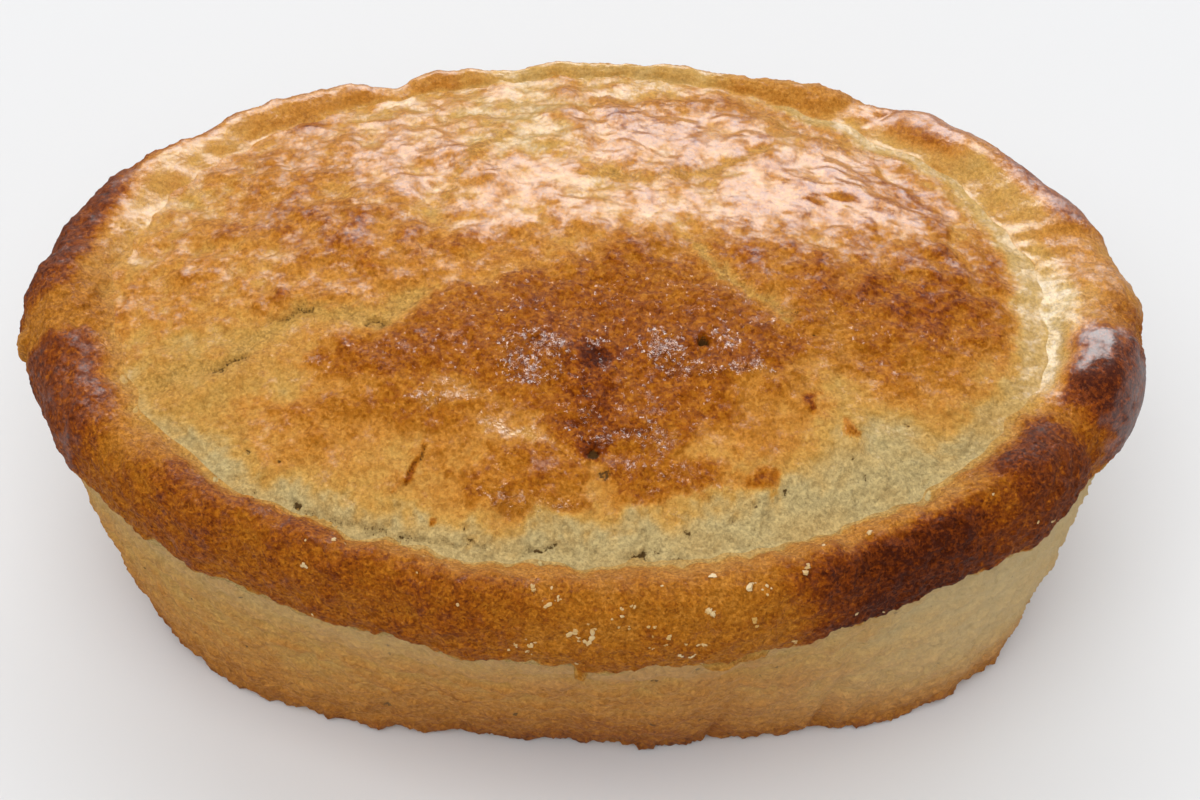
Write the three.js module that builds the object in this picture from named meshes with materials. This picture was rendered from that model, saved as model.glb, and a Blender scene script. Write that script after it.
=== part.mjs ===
// A custard tart baked in an oval tin: a flared shortcrust case, a thick pinched rim and a domed lid,
// all baked into one closed piece. Millimetres, +Z up, the flat base on z = 0, the front towards -Y.

import * as THREE from "three";
import { mergeVertices } from "three/addons/utils/BufferGeometryUtils.js";

// Driving dimensions: the three ovals seen from above. Squareness 2 is a true ellipse and more is boxier.
// Pear is how far, as a share of the reach, the front bulges and the back flattens. Turn is in degrees.
const RIM = { length: 105, width: 66.6, squareness: 2.04, centre: [0, 0.2], pear: 0.032, turn: 0 };
const CREASE = { length: 86.4, width: 58, squareness: 2.04, centre: [-1, 1.1], pear: 0, turn: 0 };
const BASE = { length: 86.5, width: 49, squareness: 2.8, centre: [0.9, 0.9], pear: 0, turn: -2.5 };

// Driving dimensions: heights above the table.
const RIM_LOW = 26;
const RIM_MIDDLE = 30.4;
const RIM_TOP = 36.2;
const CREASE_HEIGHT = 34.8;
const DOME_RISE = 6.6;

// Smaller sizes.
const OVERHANG = 2; // how far the rim stands out over the wall
const RIM_TOP_SHARE = 0.5; // place of the rim's highest line, as a share of the way in to the crease
const BASE_ROUND = 1.4; // rounding where the wall meets the base
const FOOT_ARC = { out: 0.75, up: 0.3 }; // point in the middle of that rounding, as shares of it
const WALL_BULGE = 0.8; // how far the wall swells out between base and rim
const DOME_SHOULDER = 2.5; // exponent of the lid's rise: more gives a flatter top and a steeper edge
const LUMP_FADE = 6; // exponent by which the lid's lumps die out towards the crease
const LID_LUMP = { height: 0.42, wavelength: 21, phase: 0.6 };
const LID_DIMPLE = { height: 0.2, wavelength: 9, phase: 2.1 };
const RIM_LUMP = { height: 0.34, wavelength: 15, phase: 1.3 };
const UNDERSIDE_RAG = { height: 0.45, wavelength: 7, phase: 4.0 };
const BASE_RAG = { height: 0.3, wavelength: 8, phase: 5.2 };

// Places round the rim where the dough was pinched or has split: angle from +X and half width in degrees,
// then how far the notch goes in and down.
const PINCHES = [
  { angle: 122, half: 3.4, inward: 1.0, down: 1.5 },
  { angle: 42, half: 3.6, inward: 1.5, down: 2.4 },
  { angle: 8, half: 5, inward: 0.9, down: 1.7 },
  { angle: -16, half: 3.4, inward: 0.9, down: 1.5 },
  { angle: -50, half: 3.4, inward: 0.4, down: 0.8 },
  { angle: -162, half: 4, inward: 0.7, down: 1.1 },
];

// Stretches of the rim where the dough swells into a fat lobe, or where it is pressed flat.
const SWELLS = [
  { angle: -3, half: 8, outward: -0.5, up: 0.7 },
  { angle: -27, half: 8, outward: 0.6, up: 0.5 },
  { angle: -72, half: 12, outward: 0.5, up: 0 },
  { angle: 176, half: 8, outward: -0.3, up: 0.4 },
  { angle: 145, half: 9, outward: -1.0, up: 0 },
  { angle: 63, half: 14, outward: -1.0, up: -0.3 },
  { angle: 38, half: 5, outward: 1.0, up: 0 },
  { angle: 25, half: 8, outward: -1.5, up: 0 },
];

// Chips out of the bottom edge of the wall, and a stretch that was squeezed out under it.
const CHIPS = [
  { angle: -49, half: 2.4, inward: 1.4 },
  { angle: -67, half: 3, inward: 0.9 },
  { angle: -82, half: 8, inward: -1.3 },
  { angle: -120, half: 3.5, inward: 0.5 },
  { angle: 75, half: 3, inward: 0.9 },
];

// Tears in the lid's skin, from end to end as seen from above, with the groove's depth and half width.
const TEARS = [
  { from: [-38, -8.5], to: [-31, -6.5], depth: 0.7, half: 1.5 },
  { from: [-31, -6.5], to: [-19, -3], depth: 0.9, half: 1.6 },
  { from: [-13.5, 14], to: [-2.5, 14], depth: 0.5, half: 2 },
  { from: [-2.5, 14], to: [18, 18], depth: 0.8, half: 1.8 },
];

// Mesh divisions: round the tart, and along the section from the base's middle to the lid's middle.
const ROUND_STEPS = 128;
const BASE_RINGS = 3;
const WALL_RINGS = 9;
const RIM_RINGS = 11;
const LID_RINGS = 20;

const CRUST_COLOUR = 0xbd8237;
const CRUST_ROUGHNESS = 0.55;
const GOLDEN_ANGLE = Math.PI * (3 - Math.sqrt(5));
const WAVES = 5;
const WAVE_SHRINK = 0.11; // how much shorter each further wave is

// Unevenness of hand-worked dough at a place: a few plane waves, turned from each other by the golden angle.
function unevenness({ height, wavelength, phase }, x, y) {
  let sum = 0;
  for (let k = 0; k < WAVES; k++) {
    const heading = k * GOLDEN_ANGLE + phase;
    const along = x * Math.cos(heading) + y * Math.sin(heading);
    sum += Math.sin((2 * Math.PI * along) / (wavelength * (1 - WAVE_SHRINK * k)) + k * k * phase);
  }
  return (height * sum) / Math.sqrt(WAVES);
}

// A bump of height 1 that fades out over a half width.
function bell(distance, half) {
  return Math.exp(-((distance / half) ** 2));
}

// Sum of one measure over a list of places round the tart, at an angle.
function around(places, angle, measure) {
  const turn = THREE.MathUtils.RAD2DEG * angle;
  return places.reduce((sum, place) => {
    const apart = THREE.MathUtils.euclideanModulo(turn - place.angle + 180, 360) - 180;
    return sum + place[measure] * bell(apart, place.half);
  }, 0);
}

// Point of an oval outline in the direction of an angle, moved out by a margin.
function outlinePoint(oval, angle, margin) {
  const own = angle - THREE.MathUtils.DEG2RAD * oval.turn;
  const alongX = Math.abs((2 * Math.cos(own)) / oval.length) ** oval.squareness;
  const alongY = Math.abs((2 * Math.sin(own)) / oval.width) ** oval.squareness;
  const plain = (alongX + alongY) ** (-1 / oval.squareness);
  const reach = plain * (1 + oval.pear * Math.sin(3 * own)) + margin;
  return new THREE.Vector2(...oval.centre).add(
    new THREE.Vector2(reach * Math.cos(angle), reach * Math.sin(angle)),
  );
}

// How deep the tears go at a place on the lid.
function tearDepth(place) {
  return TEARS.reduce((deepest, { from, to, depth, half }) => {
    const line = new THREE.Line3(new THREE.Vector3(...from, 0), new THREE.Vector3(...to, 0));
    const here = new THREE.Vector3(place.x, place.y, 0);
    const nearest = line.closestPointToPoint(here, true, new THREE.Vector3());
    return Math.max(deepest, depth * bell(here.distanceTo(nearest), half));
  }, 0);
}

// Height of the lid at a place, where share runs from 0 in the middle to 1 at the crease.
function lidHeight(place, share) {
  const rise = DOME_RISE * (1 - share ** DOME_SHOULDER);
  const fade = 1 - share ** LUMP_FADE;
  const lumps = unevenness(LID_LUMP, place.x, place.y) + unevenness(LID_DIMPLE, place.x, place.y);
  return CREASE_HEIGHT + rise + fade * (lumps - tearDepth(place));
}

// Flat underside, from its middle out to the rounded edge.
function baseRings(edge) {
  const middle = new THREE.Vector2(...BASE.centre);
  return Array.from({ length: BASE_RINGS }, (_, k) => ({
    plan: middle.clone().lerp(edge, k / BASE_RINGS),
    height: 0,
  }));
}

// Flared wall, from the rounded bottom edge up to the underside of the rim.
function wallRings(foot, edge, top, topHeight) {
  const rings = [
    { plan: foot, height: 0 },
    { plan: foot.clone().lerp(edge, FOOT_ARC.out), height: BASE_ROUND * FOOT_ARC.up },
  ];
  for (let k = 0; k <= WALL_RINGS; k++) {
    const up = k / WALL_RINGS;
    const outward = top.clone().sub(edge).normalize();
    const swell = WALL_BULGE * Math.sin(Math.PI * up);
    rings.push({
      plan: edge.clone().lerp(top, up).addScaledVector(outward, swell),
      height: THREE.MathUtils.lerp(BASE_ROUND, topHeight, up),
    });
  }
  return rings;
}

// Thick rim, from its underside out round the widest line, over the top and down into the crease.
function rimRings(rim, crease, wallTop, low, top) {
  const crown = rim.clone().lerp(crease, RIM_TOP_SHARE);
  return Array.from({ length: RIM_RINGS }, (_, k) => {
    const turn = ((k + 1) / RIM_RINGS) * 1.5 * Math.PI - Math.PI / 2;
    const inner = turn > Math.PI / 2;
    const side = turn > 0 ? crown : wallTop;
    const roll = 1 - Math.cos(Math.min(turn, Math.PI / 2));
    const toCrease = inner ? (turn - Math.PI / 2) / (Math.PI / 2) : 0;
    const lift = turn > 0 ? top - RIM_MIDDLE : RIM_MIDDLE - low;
    const drop = (top - CREASE_HEIGHT) * 0.5 * (1 - Math.cos(Math.PI * toCrease));
    return {
      plan: inner ? crown.clone().lerp(crease, toCrease) : rim.clone().lerp(side, roll),
      height: inner ? top - drop : RIM_MIDDLE + lift * Math.sin(turn),
    };
  });
}

// Lid, from the crease in to the middle.
function lidRings(crease) {
  const middle = new THREE.Vector2(...CREASE.centre);
  return Array.from({ length: LID_RINGS }, (_, k) => {
    const share = 1 - (k + 1) / LID_RINGS;
    const plan = middle.clone().lerp(crease, share);
    return { plan, height: lidHeight(plan, share) };
  });
}

// The whole section of the tart at one angle, from the base's middle to the lid's middle.
function section(angle) {
  const plainRim = outlinePoint(RIM, angle, 0);
  const lump = unevenness(RIM_LUMP, plainRim.x, plainRim.y);
  const rag = unevenness(UNDERSIDE_RAG, plainRim.x, plainRim.y);
  const outward = around(SWELLS, angle, "outward") - around(PINCHES, angle, "inward");
  const up = around(SWELLS, angle, "up") - around(PINCHES, angle, "down");
  const rim = outlinePoint(RIM, angle, lump + outward);
  const crease = outlinePoint(CREASE, angle, lump);
  const wallTop = outlinePoint(RIM, angle, -OVERHANG);

  const chip = around(CHIPS, angle, "inward");
  const plainBase = outlinePoint(BASE, angle, 0);
  const edge = outlinePoint(BASE, angle, unevenness(BASE_RAG, plainBase.x, plainBase.y) - chip);
  const foot = outlinePoint(BASE, angle, -BASE_ROUND - chip);

  const low = RIM_LOW + rag;
  const top = Math.max(RIM_TOP + lump + up, CREASE_HEIGHT);
  return [
    ...baseRings(foot),
    ...wallRings(foot, edge, wallTop, low),
    ...rimRings(rim, crease, wallTop, low, top),
    ...lidRings(crease),
  ];
}

// A turned blank with as many rings as the section, each of its vertices then moved to its place on the tart.
function tartGeometry() {
  const rings = section(0).length;
  const profile = Array.from({ length: rings }, (_, k) => {
    const turn = (Math.PI * k) / (rings - 1) - Math.PI / 2;
    return new THREE.Vector2(Math.max(Math.cos(turn), 0), Math.sin(turn));
  });
  const blank = new THREE.LatheGeometry(profile, ROUND_STEPS);
  const position = blank.getAttribute("position");
  for (let step = 0; step <= ROUND_STEPS; step++) {
    const angle = (2 * Math.PI * (step % ROUND_STEPS)) / ROUND_STEPS;
    section(angle).forEach(({ plan, height }, ring) => {
      position.setXYZ(step * rings + ring, plan.x, plan.y, height);
    });
  }
  blank.deleteAttribute("normal");
  blank.deleteAttribute("uv");
  const closed = mergeVertices(blank);
  closed.computeVertexNormals();
  return closed;
}

// Moves a geometry so that its bounding box stands on z = 0 with its middle over the origin.
function standOnOrigin(geometry) {
  geometry.computeBoundingBox();
  const { min, max } = geometry.boundingBox;
  geometry.translate(-(min.x + max.x) / 2, -(min.y + max.y) / 2, -min.z);
  return geometry;
}

const crust = new THREE.MeshStandardMaterial({
  color: CRUST_COLOUR,
  roughness: CRUST_ROUGHNESS,
  metalness: 0,
});
const tart = new THREE.Mesh(standOnOrigin(tartGeometry()), crust);
tart.name = "tart";

const part = new THREE.Group();
part.add(tart);

export default part;
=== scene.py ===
"""Finishes the closed custard tart: its baked lid, rim and wall, the loose crumbs on it and its studio.

Shapes are worked out in millimetres in the tart's own frame and made metres at the end.
"""

import math
import random
from collections import namedtuple

import bmesh
import bpy
import numpy as np
from mathutils import Matrix, Vector, noise


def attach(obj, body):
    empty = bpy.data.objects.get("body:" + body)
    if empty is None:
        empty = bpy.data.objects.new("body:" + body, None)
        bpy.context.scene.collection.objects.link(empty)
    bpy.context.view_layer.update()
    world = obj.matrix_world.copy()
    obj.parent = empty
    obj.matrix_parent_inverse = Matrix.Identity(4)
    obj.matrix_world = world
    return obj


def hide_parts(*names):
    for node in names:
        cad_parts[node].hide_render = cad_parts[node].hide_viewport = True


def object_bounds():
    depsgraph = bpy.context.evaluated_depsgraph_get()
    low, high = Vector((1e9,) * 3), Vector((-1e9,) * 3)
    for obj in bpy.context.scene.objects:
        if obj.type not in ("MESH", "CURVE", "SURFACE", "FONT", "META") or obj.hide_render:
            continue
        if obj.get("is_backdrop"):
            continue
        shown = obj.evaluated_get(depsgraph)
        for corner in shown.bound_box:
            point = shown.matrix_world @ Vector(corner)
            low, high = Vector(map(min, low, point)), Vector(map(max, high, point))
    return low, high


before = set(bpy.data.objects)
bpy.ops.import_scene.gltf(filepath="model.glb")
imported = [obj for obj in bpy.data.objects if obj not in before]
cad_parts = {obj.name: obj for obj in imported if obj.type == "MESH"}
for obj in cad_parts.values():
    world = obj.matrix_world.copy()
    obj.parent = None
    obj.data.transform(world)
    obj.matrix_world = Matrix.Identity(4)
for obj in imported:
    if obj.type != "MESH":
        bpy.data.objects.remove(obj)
CAD_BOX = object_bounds()

bl_info = {
    "name": "Custard Tart",
    "version": (1, 0, 0),
    "blender": (4, 5, 0),
    "location": "View3D > Sidebar > Custard Tart",
    "description": "Makes the crust of a closed oval custard tart, its crumbs and its studio",
    "category": "Add Mesh",
}

MM = 0.001
BODY = "root"
NODE = "tart"

# Mesh divisions: each piece starts as a flat sheet, and its rings are folded into shape.
LID_GRID = (350, 244)
RIM_STEPS = 1100
RIM_RINGS = 84
WALL_STEPS = 900
WALL_RINGS = 72
FOOT_RINGS = 4
BASE_RINGS = 3
TUCK_RINGS = 3
RING_STEP = 0.01

# How far each ring that is tucked out of sight goes sideways and down, and under the rim inwards and up.
TUCK_ASIDE = 0.5
TUCK_DOWN = 0.22
UNDER_INWARD = 0.5
UNDER_UP = 0.5

# Share of the way to its middle that the flat base's rings reach.
BASE_INWARD = 0.12

# Waves of the hand-worked dough, as in the solid.
Wave = namedtuple("Wave", "height wavelength phase")
LID_LUMP = Wave(0.26, 21, 0.6)
LID_DIMPLE = Wave(0.1, 9, 2.1)
RIM_LUMP = Wave(0.34, 15, 1.3)
UNDERSIDE_RAG = Wave(0.45, 7, 4.0)
BASE_RAG = Wave(0.14, 8, 5.2)
CREASE_RAG = Wave(0.3, 5, 3.3)
CREASE_STEP = Wave(0.14, 7, 1.9)
GOLDEN_ANGLE = math.pi * (3 - math.sqrt(5))
WAVES = 5
WAVE_SHRINK = 0.11

# Noise of the crust: size of its features, and a shift that sets it apart from the others.
Noise = namedtuple("Noise", "size shift")
RAGGED = [(0.55, Noise(0.9, 41.3)), (0.45, Noise(2.2, 7.7))]
LUMPS = Noise(2.6, 23.9)
SWELLS = Noise(4.6, 91.7)
FINE = Noise(0.55, 13.7)
GRAIN = Noise(1.7, 2.3)
CRACKS = Noise(1.9, 71.9)
STREAKS = Noise(1.6, 9.1)
WRINKLES = Noise(1.9, 61.3)
CRAGS = Noise(1.4, 77.7)
CRACK_HALF = 0.07
CRACK_SHAKE = 0.3

# Rough noise: fall-off, how much finer each layer is, and layers.
ROUGH_LAYERS = (0.6, 2.0, 4)

# Noise that shifts what is painted on the lid: reach, size, and a shift for each axis.
Warp = namedtuple("Warp", "reach size shifts")
WARPS = [Warp(1.7, 4.5, (3.1, 17.7)), Warp(1.0, 1.4, (5.9, 29.3)), Warp(0.45, 0.6, (8.3, 37.1))]

# Fields of the crust that the materials read.
BAKED_FIELDS = ("browning", "glaze", "film", "dust", "pore", "grit")

# Plan of an oval: squareness 2 is a true ellipse, pear swells the front, turn is in degrees.
Oval = namedtuple("Oval", "length width squareness centre pear turn")
RIM_SHAPE = {"squareness": 2.04, "centre": (0, 0.2), "pear": 0.032, "turn": 0}
CREASE_SHAPE = {"squareness": 2.04, "centre": (-1, 1.1), "pear": 0, "turn": 0}
BASE_SHAPE = {"squareness": 2.8, "centre": (0.9, 0.9), "pear": 0, "turn": -2.5}
RIM_TOP_SHARE = 0.5
OUTLINE_STEPS = 721

# A place round the tart: angle and half width in degrees, then how far out and up.
Place = namedtuple("Place", "angle half outward up")
DOME_SHOULDER = 2.5
DOME_FOOT = 0.02
LUMP_FADE = 6
BASE_ROUND = 1.4
CREASE_FILLS = [Place(84, 30, 0, 1.1), Place(165, 36, 0, 0.9)]
CREASE_FILL_POWER = 4
WALL_BULGE = 0.8

# Places round the rim and the base that stand out or back.
RIM_PLACES = [
    Place(122, 3.4, -1.0, -1.5),
    Place(42, 3.6, -1.5, -2.4),
    Place(8, 5, -0.9, -1.7),
    Place(-16, 3.4, -0.9, -1.5),
    Place(-50, 3.4, -0.4, -0.8),
    Place(-162, 4, -0.7, -1.1),
    Place(-3, 8, -0.5, 0),
    Place(-9, 5, 0, 0.8),
    Place(-27, 8, 0.6, 0.5),
    Place(-72, 12, 0.5, 0),
    Place(176, 8, -0.3, 0.4),
    Place(145, 9, -1.0, 0),
    Place(63, 14, -1.0, -0.3),
    Place(38, 5, 1.0, 0),
    Place(25, 8, -1.5, 0),
]
BASE_PLACES = [
    Place(-49, 1.5, -1.2, 0),
    Place(-67, 1.6, -0.8, 0),
    Place(-82, 10, 0.9, 0),
    Place(-120, 3.5, -0.5, 0),
    Place(75, 3, -0.9, 0),
]

# Baked patches of the lid, seen from above, laid one over the other:
# corners, browning from 0 raw to 1 darkest, glaze from 0 dry to 1 glossy, and softness of the edge.
Patch = namedtuple("Patch", "corners brown glaze edge")
LID_BASE = Patch([], 0.39, 0.46, 0)
LID_PATCHES = [
    Patch([(-46, 31), (46, 31), (40, 20), (30, 24), (20, 26), (0, 27), (-20, 25), (-36, 19)], 0.34, 0.85, 3),
    Patch([(-44, 0), (-42, 12), (-36, 20), (-30, 22), (-31, 12), (-29, 2), (-36, 0)], 0.42, 0.48, 3),
    Patch([(-44, -3), (-38, -2), (-31, -4), (-28, -7), (-31, -12), (-32, -17), (-37, -18), (-43, -10)],
          0.32, 0.15, 3),
    Patch([(-32, 24), (-24, 26), (-23, 18), (-28, 16), (-33, 19)], 0.5, 0.68, 2.5),
    Patch([(-35, 15), (-24, 16), (-22, 10), (-26, 7), (-34, 7)], 0.54, 0.46, 2.5),
    Patch([(-27, 9), (-16, 8), (-13, 5), (-17, 0), (-27, -1)], 0.54, 0.5, 2.5),
    Patch([(-23, 23), (-14, 24), (-10, 19), (-12, 12), (-17, 10), (-22, 13)], 0.47, 0.8, 2),
    Patch([(-14, 12), (-8, 16.5), (-1, 16), (0.5, 11), (-3, 8), (-10, 8)], 0.46, 0.9, 2),
    Patch([(-11, 16), (-11, 21), (-12, 27), (-2, 26), (0, 20), (0, 16), (-5, 17)], 0.27, 0.66, 1.5),
    Patch([(0, 23), (0, 16), (6, 14), (13, 15), (18, 19), (16, 24), (8, 25)], 0.5, 0.9, 1.8),
    Patch([(2, 27), (2, 24.5), (12, 25), (20, 24), (24, 21), (25, 23), (18, 27)], 0.52, 0.5, 1.5),
    Patch([(11, 10), (14, 15), (20, 19), (27, 19), (31, 14), (31, 8), (23, 6), (14, 5.5)], 0.5, 1.0, 2),
    Patch([(27, 19), (31, 18), (35, 13), (33, 9), (28, 12)], 0.62, 0.78, 2),
    Patch([(-12, 5), (0, 5), (12, 6), (14, 11), (8, 13), (1, 13), (-4, 8), (-12, 8)], 0.42, 0.85, 2.5),
    Patch([(-14, 5), (0, 5), (11, 6), (12, 2), (6, 2), (-4, 2), (-12, 1)], 0.56, 0.36, 2.5),
    Patch([(12, 4), (22, 5), (32, 6), (38, 7), (39.5, 1), (37, -6),
           (33, -10), (28, -13), (25, -10), (20, -4), (13, 0)], 0.65, 0.2, 3.5),
    Patch([(13, 6), (22, 7), (32, 8), (37, 7), (38, 3), (30, 2), (20, 2), (13, 3)], 0.6, 0.58, 4),
    Patch([(13, 4), (20, 4), (20, 1), (14, 1)], 0.64, 0.45, 2),
    Patch([(26, -1), (30, 0), (31, -6), (27, -6)], 0.74, 0.2, 2),
    Patch([(36.5, 8), (39, 8), (39.5, 0), (37, 0)], 0.66, 0.4, 1.5),
    Patch([(28, -7), (38, -5), (41, -9), (36, -14), (28, -14)], 0.47, 0.3, 2.5),
    Patch([(9, 4), (12, 1), (16, -2), (22, -4), (24, -8), (22, -11), (17, -7), (12, -2)], 0.58, 0.2, 1.5),
    Patch([(-27, -7), (-23, -5.5), (-20, -6.5), (-16, -2), (-11, -0.5), (-5, 1), (1, 3), (8, 2.5), (12, -1),
           (17, -5.5), (19, -9), (15, -12), (8, -13), (-2, -13), (-10, -12), (-18, -11.5), (-24, -10)],
          0.67, 0.1, 1.2),
    Patch([(-8, -4), (-2, -1), (4, -2), (11, -4), (17, -7.5), (11, -12), (-1, -13.5), (-8, -10)],
          0.73, 0.1, 2.5),
    Patch([(-31, -11), (-20, -12), (-8, -13.5), (-4, -14.5), (-14, -16.5), (-26, -15.5)], 0.63, 0.16, 2),
    Patch([(-11, -12), (12, -12), (14, -13.5), (11, -16), (6, -17), (5, -20), (-3, -20), (-5, -16)],
          0.69, 0.18, 1.2),
    Patch([(-28, -13.5), (-16, -16.5), (-14, -21), (-22, -20), (-28, -17.5)], 0.41, 0.25, 2.5),
    Patch([(-14, -18.5), (-4, -17.5), (-1, -20.3), (-2, -22.8), (-8, -24), (-12, -22.8)], 0.58, 0.24, 0.7),
    Patch([(-1, -17.5), (5, -17), (8, -19.3), (12, -20.8), (11, -22.8), (6, -22.3), (1, -22.3)],
          0.65, 0.22, 0.7),
    Patch([(13, -12.5), (20, -9.5), (26, -12.5), (30, -14.5), (27, -19.3), (18, -22.3), (13, -19.3)],
          0.27, 0.25, 2.5),
    Patch([(20, -14.5), (28, -14.5), (27, -19.3), (20, -20.3)], 0.1, 0.2, 2.5),
    Patch([(12, -11.5), (19, -10), (20, -14), (15, -18.3), (11, -16.5)], 0.53, 0.3, 2),
]

# Small browned spots of the lid: middle, half lengths, turn in degrees and browning.
Spot = namedtuple("Spot", "x y along across turn brown")
SPOT_EDGE = (1.5, 0.6)
SPOT_WARP = 0.5
SPOT_RAG = 0.5
LID_SPOTS = [
    Spot(-1.3, -9.1, 2.1, 1.4, 0, 1.0),
    Spot(-0.8, -12.6, 2.2, 2, 0, 0.8),
    Spot(-0.5, -16.2, 3.2, 1.2, 0, 0.78),
    Spot(-1.3, -18, 1.1, 1.0, 0, 0.93),
    Spot(13.8, -20.6, 1.3, 0.9, 20, 0.66),
    Spot(18.8, -13.1, 0.5, 0.8, -20, 0.78),
    Spot(22.1, -15.1, 0.5, 0.8, 10, 0.66),
    Spot(-17.2, -18.8, 0.4, 1.9, -28, 0.72),
    Spot(-15.5, -23.7, 0.35, 0.35, 0, 0.66),
]

# Browning over which the egg-washed crust turns amber, faintly filmed and calmer, and the lid's mottling
# at its front and back.
FILM_EDGE = 0.4
AMBER_FROM = (0.5, 0.62)
AMBER_FILM = 0.22
CALM_FROM = (0.52, 0.64)
CALM_SHARE = 0.3
MOTTLE = (0.1, 0.13)
GRAIN_MOTTLE = (0.08, 0.12)
LID_GRIT = 0.65

# Where the lid's skin is lumpy: from front to back, and pulled forward beyond a distance from the middle.
LUMPY_FROM = (-2, 6)
LUMPY_END = 12
LUMPY_PULL = 0.35

# Sandy belt along the front crease and pale groove round the rest: share of the lid where it starts.
BELT_ANGLES = (-166, -20)
BELT_END = 8
BELT_START = ([-166, -140, -90, -50, -20], [0.9, 0.86, 0.82, 0.76, 0.86])
BELT_FADE = 0.13
BELT_RAG = (0.04, 0.05, 0.03)
BELT_BROWN = 0.1
BELT_GLAZE = 0.1
BELT_GRIT = 0.8
GROOVE_START = ([-180, -40, -16, 0, 12, 50, 75, 180], [1.1, 0.98, 0.9, 0.9, 0.93, 0.94, 1.1, 1.1])
GROOVE_FADE = 0.05
GROOVE_RAG = 0.5
GROOVE_BROWN = 0.14
GROOVE_GLAZE = 0.6
GROOVE_GLAZED = (-22, 4)

# Tears and slits in the lid: corners seen from above, half width, depth, and darkness as painted shade.
# They wander by noise. A pair of values is for the front and the back of the lid.
Tear = namedtuple("Tear", "corners half depth dark")
TEAR_WANDER = 0.8
TEAR_WAVER = 0.5
TEAR_SWELL = 0.6
TEAR_BACK = (4, 10)
TEAR_BROWN = (0.22, 0.34)
TEAR_COVER = 0.85
TEAR_DULL = (0.8, 0.5)
TEAR_GRIT = 0.4
TEARS = [
    Tear([(-40, -7.4), (-34, -6.8), (-31, -4.4), (-27, -2.5), (-23, -3.2), (-20, -4.2), (-16.5, -1.2)],
         1.1, 0.3, 0),
    Tear([(-13.5, 11), (-11, 17), (-7.5, 20)], 0.6, 0.08, 0),
    Tear([(-1, 14), (4, 13), (10, 14), (15, 16.5), (17.5, 18.5)], 0.6, 0.1, 0),
    Tear([(9, 4.2), (12, 0), (17, -4)], 0.7, 0.25, 0),
    Tear([(-16.2, -17.4), (-18.2, -20.6)], 0.2, 0.45, 0.5),
    Tear([(-34.2, -7), (-32, -6.2)], 0.3, 0.4, 0.6),
    Tear([(-29, -2.6), (-26, -2.3)], 0.3, 0.4, 0.6),
    Tear([(-21.2, -4.2), (-19.6, -4.5)], 0.3, 0.5, 0.65),
    Tear([(-27, -22), (-22, -23.8), (-17, -25), (-11, -26)], 0.18, 0.3, 0.45),
    Tear([(1.8, -27.6), (4, -27.9), (6.2, -27.4)], 0.26, 0.45, 0.95),
    Tear([(-7, -26.4), (-4.6, -26.2)], 0.3, 0.45, 0.95),
]

# Where the wash dried to a crinkled glossy film: corners seen from above and strength.
Film = namedtuple("Film", "corners strength")
FILMS = [
    Film([(3, -6.5), (5.5, -6), (8, -7), (8.4, -9.3), (15.5, -9.6), (15.8, -11),
          (9, -11.2), (5.5, -11.2), (4, -9)], 1.0),
    Film([(10.6, -6.2), (13.8, -6.2), (14.2, -8.2), (11, -8.4)], 0.8),
    Film([(-9.5, -7), (-4.5, -6.5), (-3.6, -9), (-5, -11.6), (-8.5, -11)], 0.9),
    Film([(-2.4, -6), (0.4, -6), (0, -7.4), (-2.2, -7.4)], 0.8),
    Film([(-18, -11.8), (-11, -12), (-10, -13.8), (-15, -14)], 0.7),
    Film([(-3.6, -15.8), (1, -15.4), (5.4, -16.4), (4.6, -17.7), (-2, -17)], 0.9),
    Film([(-13, -15.6), (-6, -16.4), (-5, -17.4), (-12, -16.8)], 0.8),
    Film([(-12, -21.5), (-4, -22), (-5, -23.9), (-10, -23.9)], 0.7),
    Film([(2, -18.5), (7, -18.5), (7.5, -21), (3, -21.5)], 0.5),
    Film([(-2.4, -13.6), (-1, -13.6), (-1, -15.2), (-2.4, -15.2)], 1.0),
]

# Low ridges of the lid: middle, half lengths, turn and height.
Ridge = namedtuple("Ridge", "x y along across turn height")
RIDGE_HALF = 0.8
RIDGES = [
    Ridge(9, -10.5, 6, 1.6, -6, 0.2),
    Ridge(-7, -10, 4, 1.4, 0, 0.14),
    Ridge(-14, -13.4, 5, 1.0, -4, 0.14),
    Ridge(-9, -17.2, 5, 0.8, -4, 0.22),
    Ridge(1, -17.5, 4, 1.0, -4, 0.3),
]

# Holes and pores of the lid: middle, radius and depth; the deeper ones get more painted shade.
Pit = namedtuple("Pit", "x y radius depth")
PIT_SHAKE = 0.35
PIT_SOFT = 1.6
PIT_EDGE = (0.45, 0.75)
PIT_RAG = 0.25
# Depths over which a hole's painted shade grows.
PIT_DARK = (0.05, 0.5)
PITS = [
    Pit(9.1, -7.7, 0.42, 1.4),
    Pit(-1.1, -18.6, 0.45, 0.5),
    Pit(-0.3, -20.5, 0.4, 0.3),
    Pit(15.7, -21.4, 0.22, 0.4),
    Pit(-31.7, -15.9, 0.2, 0.3),
    Pit(-28.9, -17.4, 0.2, 0.3),
    Pit(-27.4, -21.3, 0.36, 0.5),
    Pit(-12.9, -24.4, 0.2, 0.35),
    Pit(6.9, -25.2, 0.25, 0.35),
    Pit(22.2, -17.9, 0.18, 0.3),
    Pit(23.3, -19.6, 0.2, 0.3),
    Pit(18, -3.8, 0.2, 0.3),
    Pit(19.5, -6, 0.2, 0.3),
]

# Pores strewn over the belt: share of the lid, middle and half of their stretch in degrees, radius and depth.
STRAY_PORES = 26
STRAY_SHARE = (0.82, 0.99)
STRAY_ANGLE = -92
STRAY_HALF = 66
STRAY_RADIUS = (0.1, 0.22)
STRAY_DEPTH = (0.1, 0.3)

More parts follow.
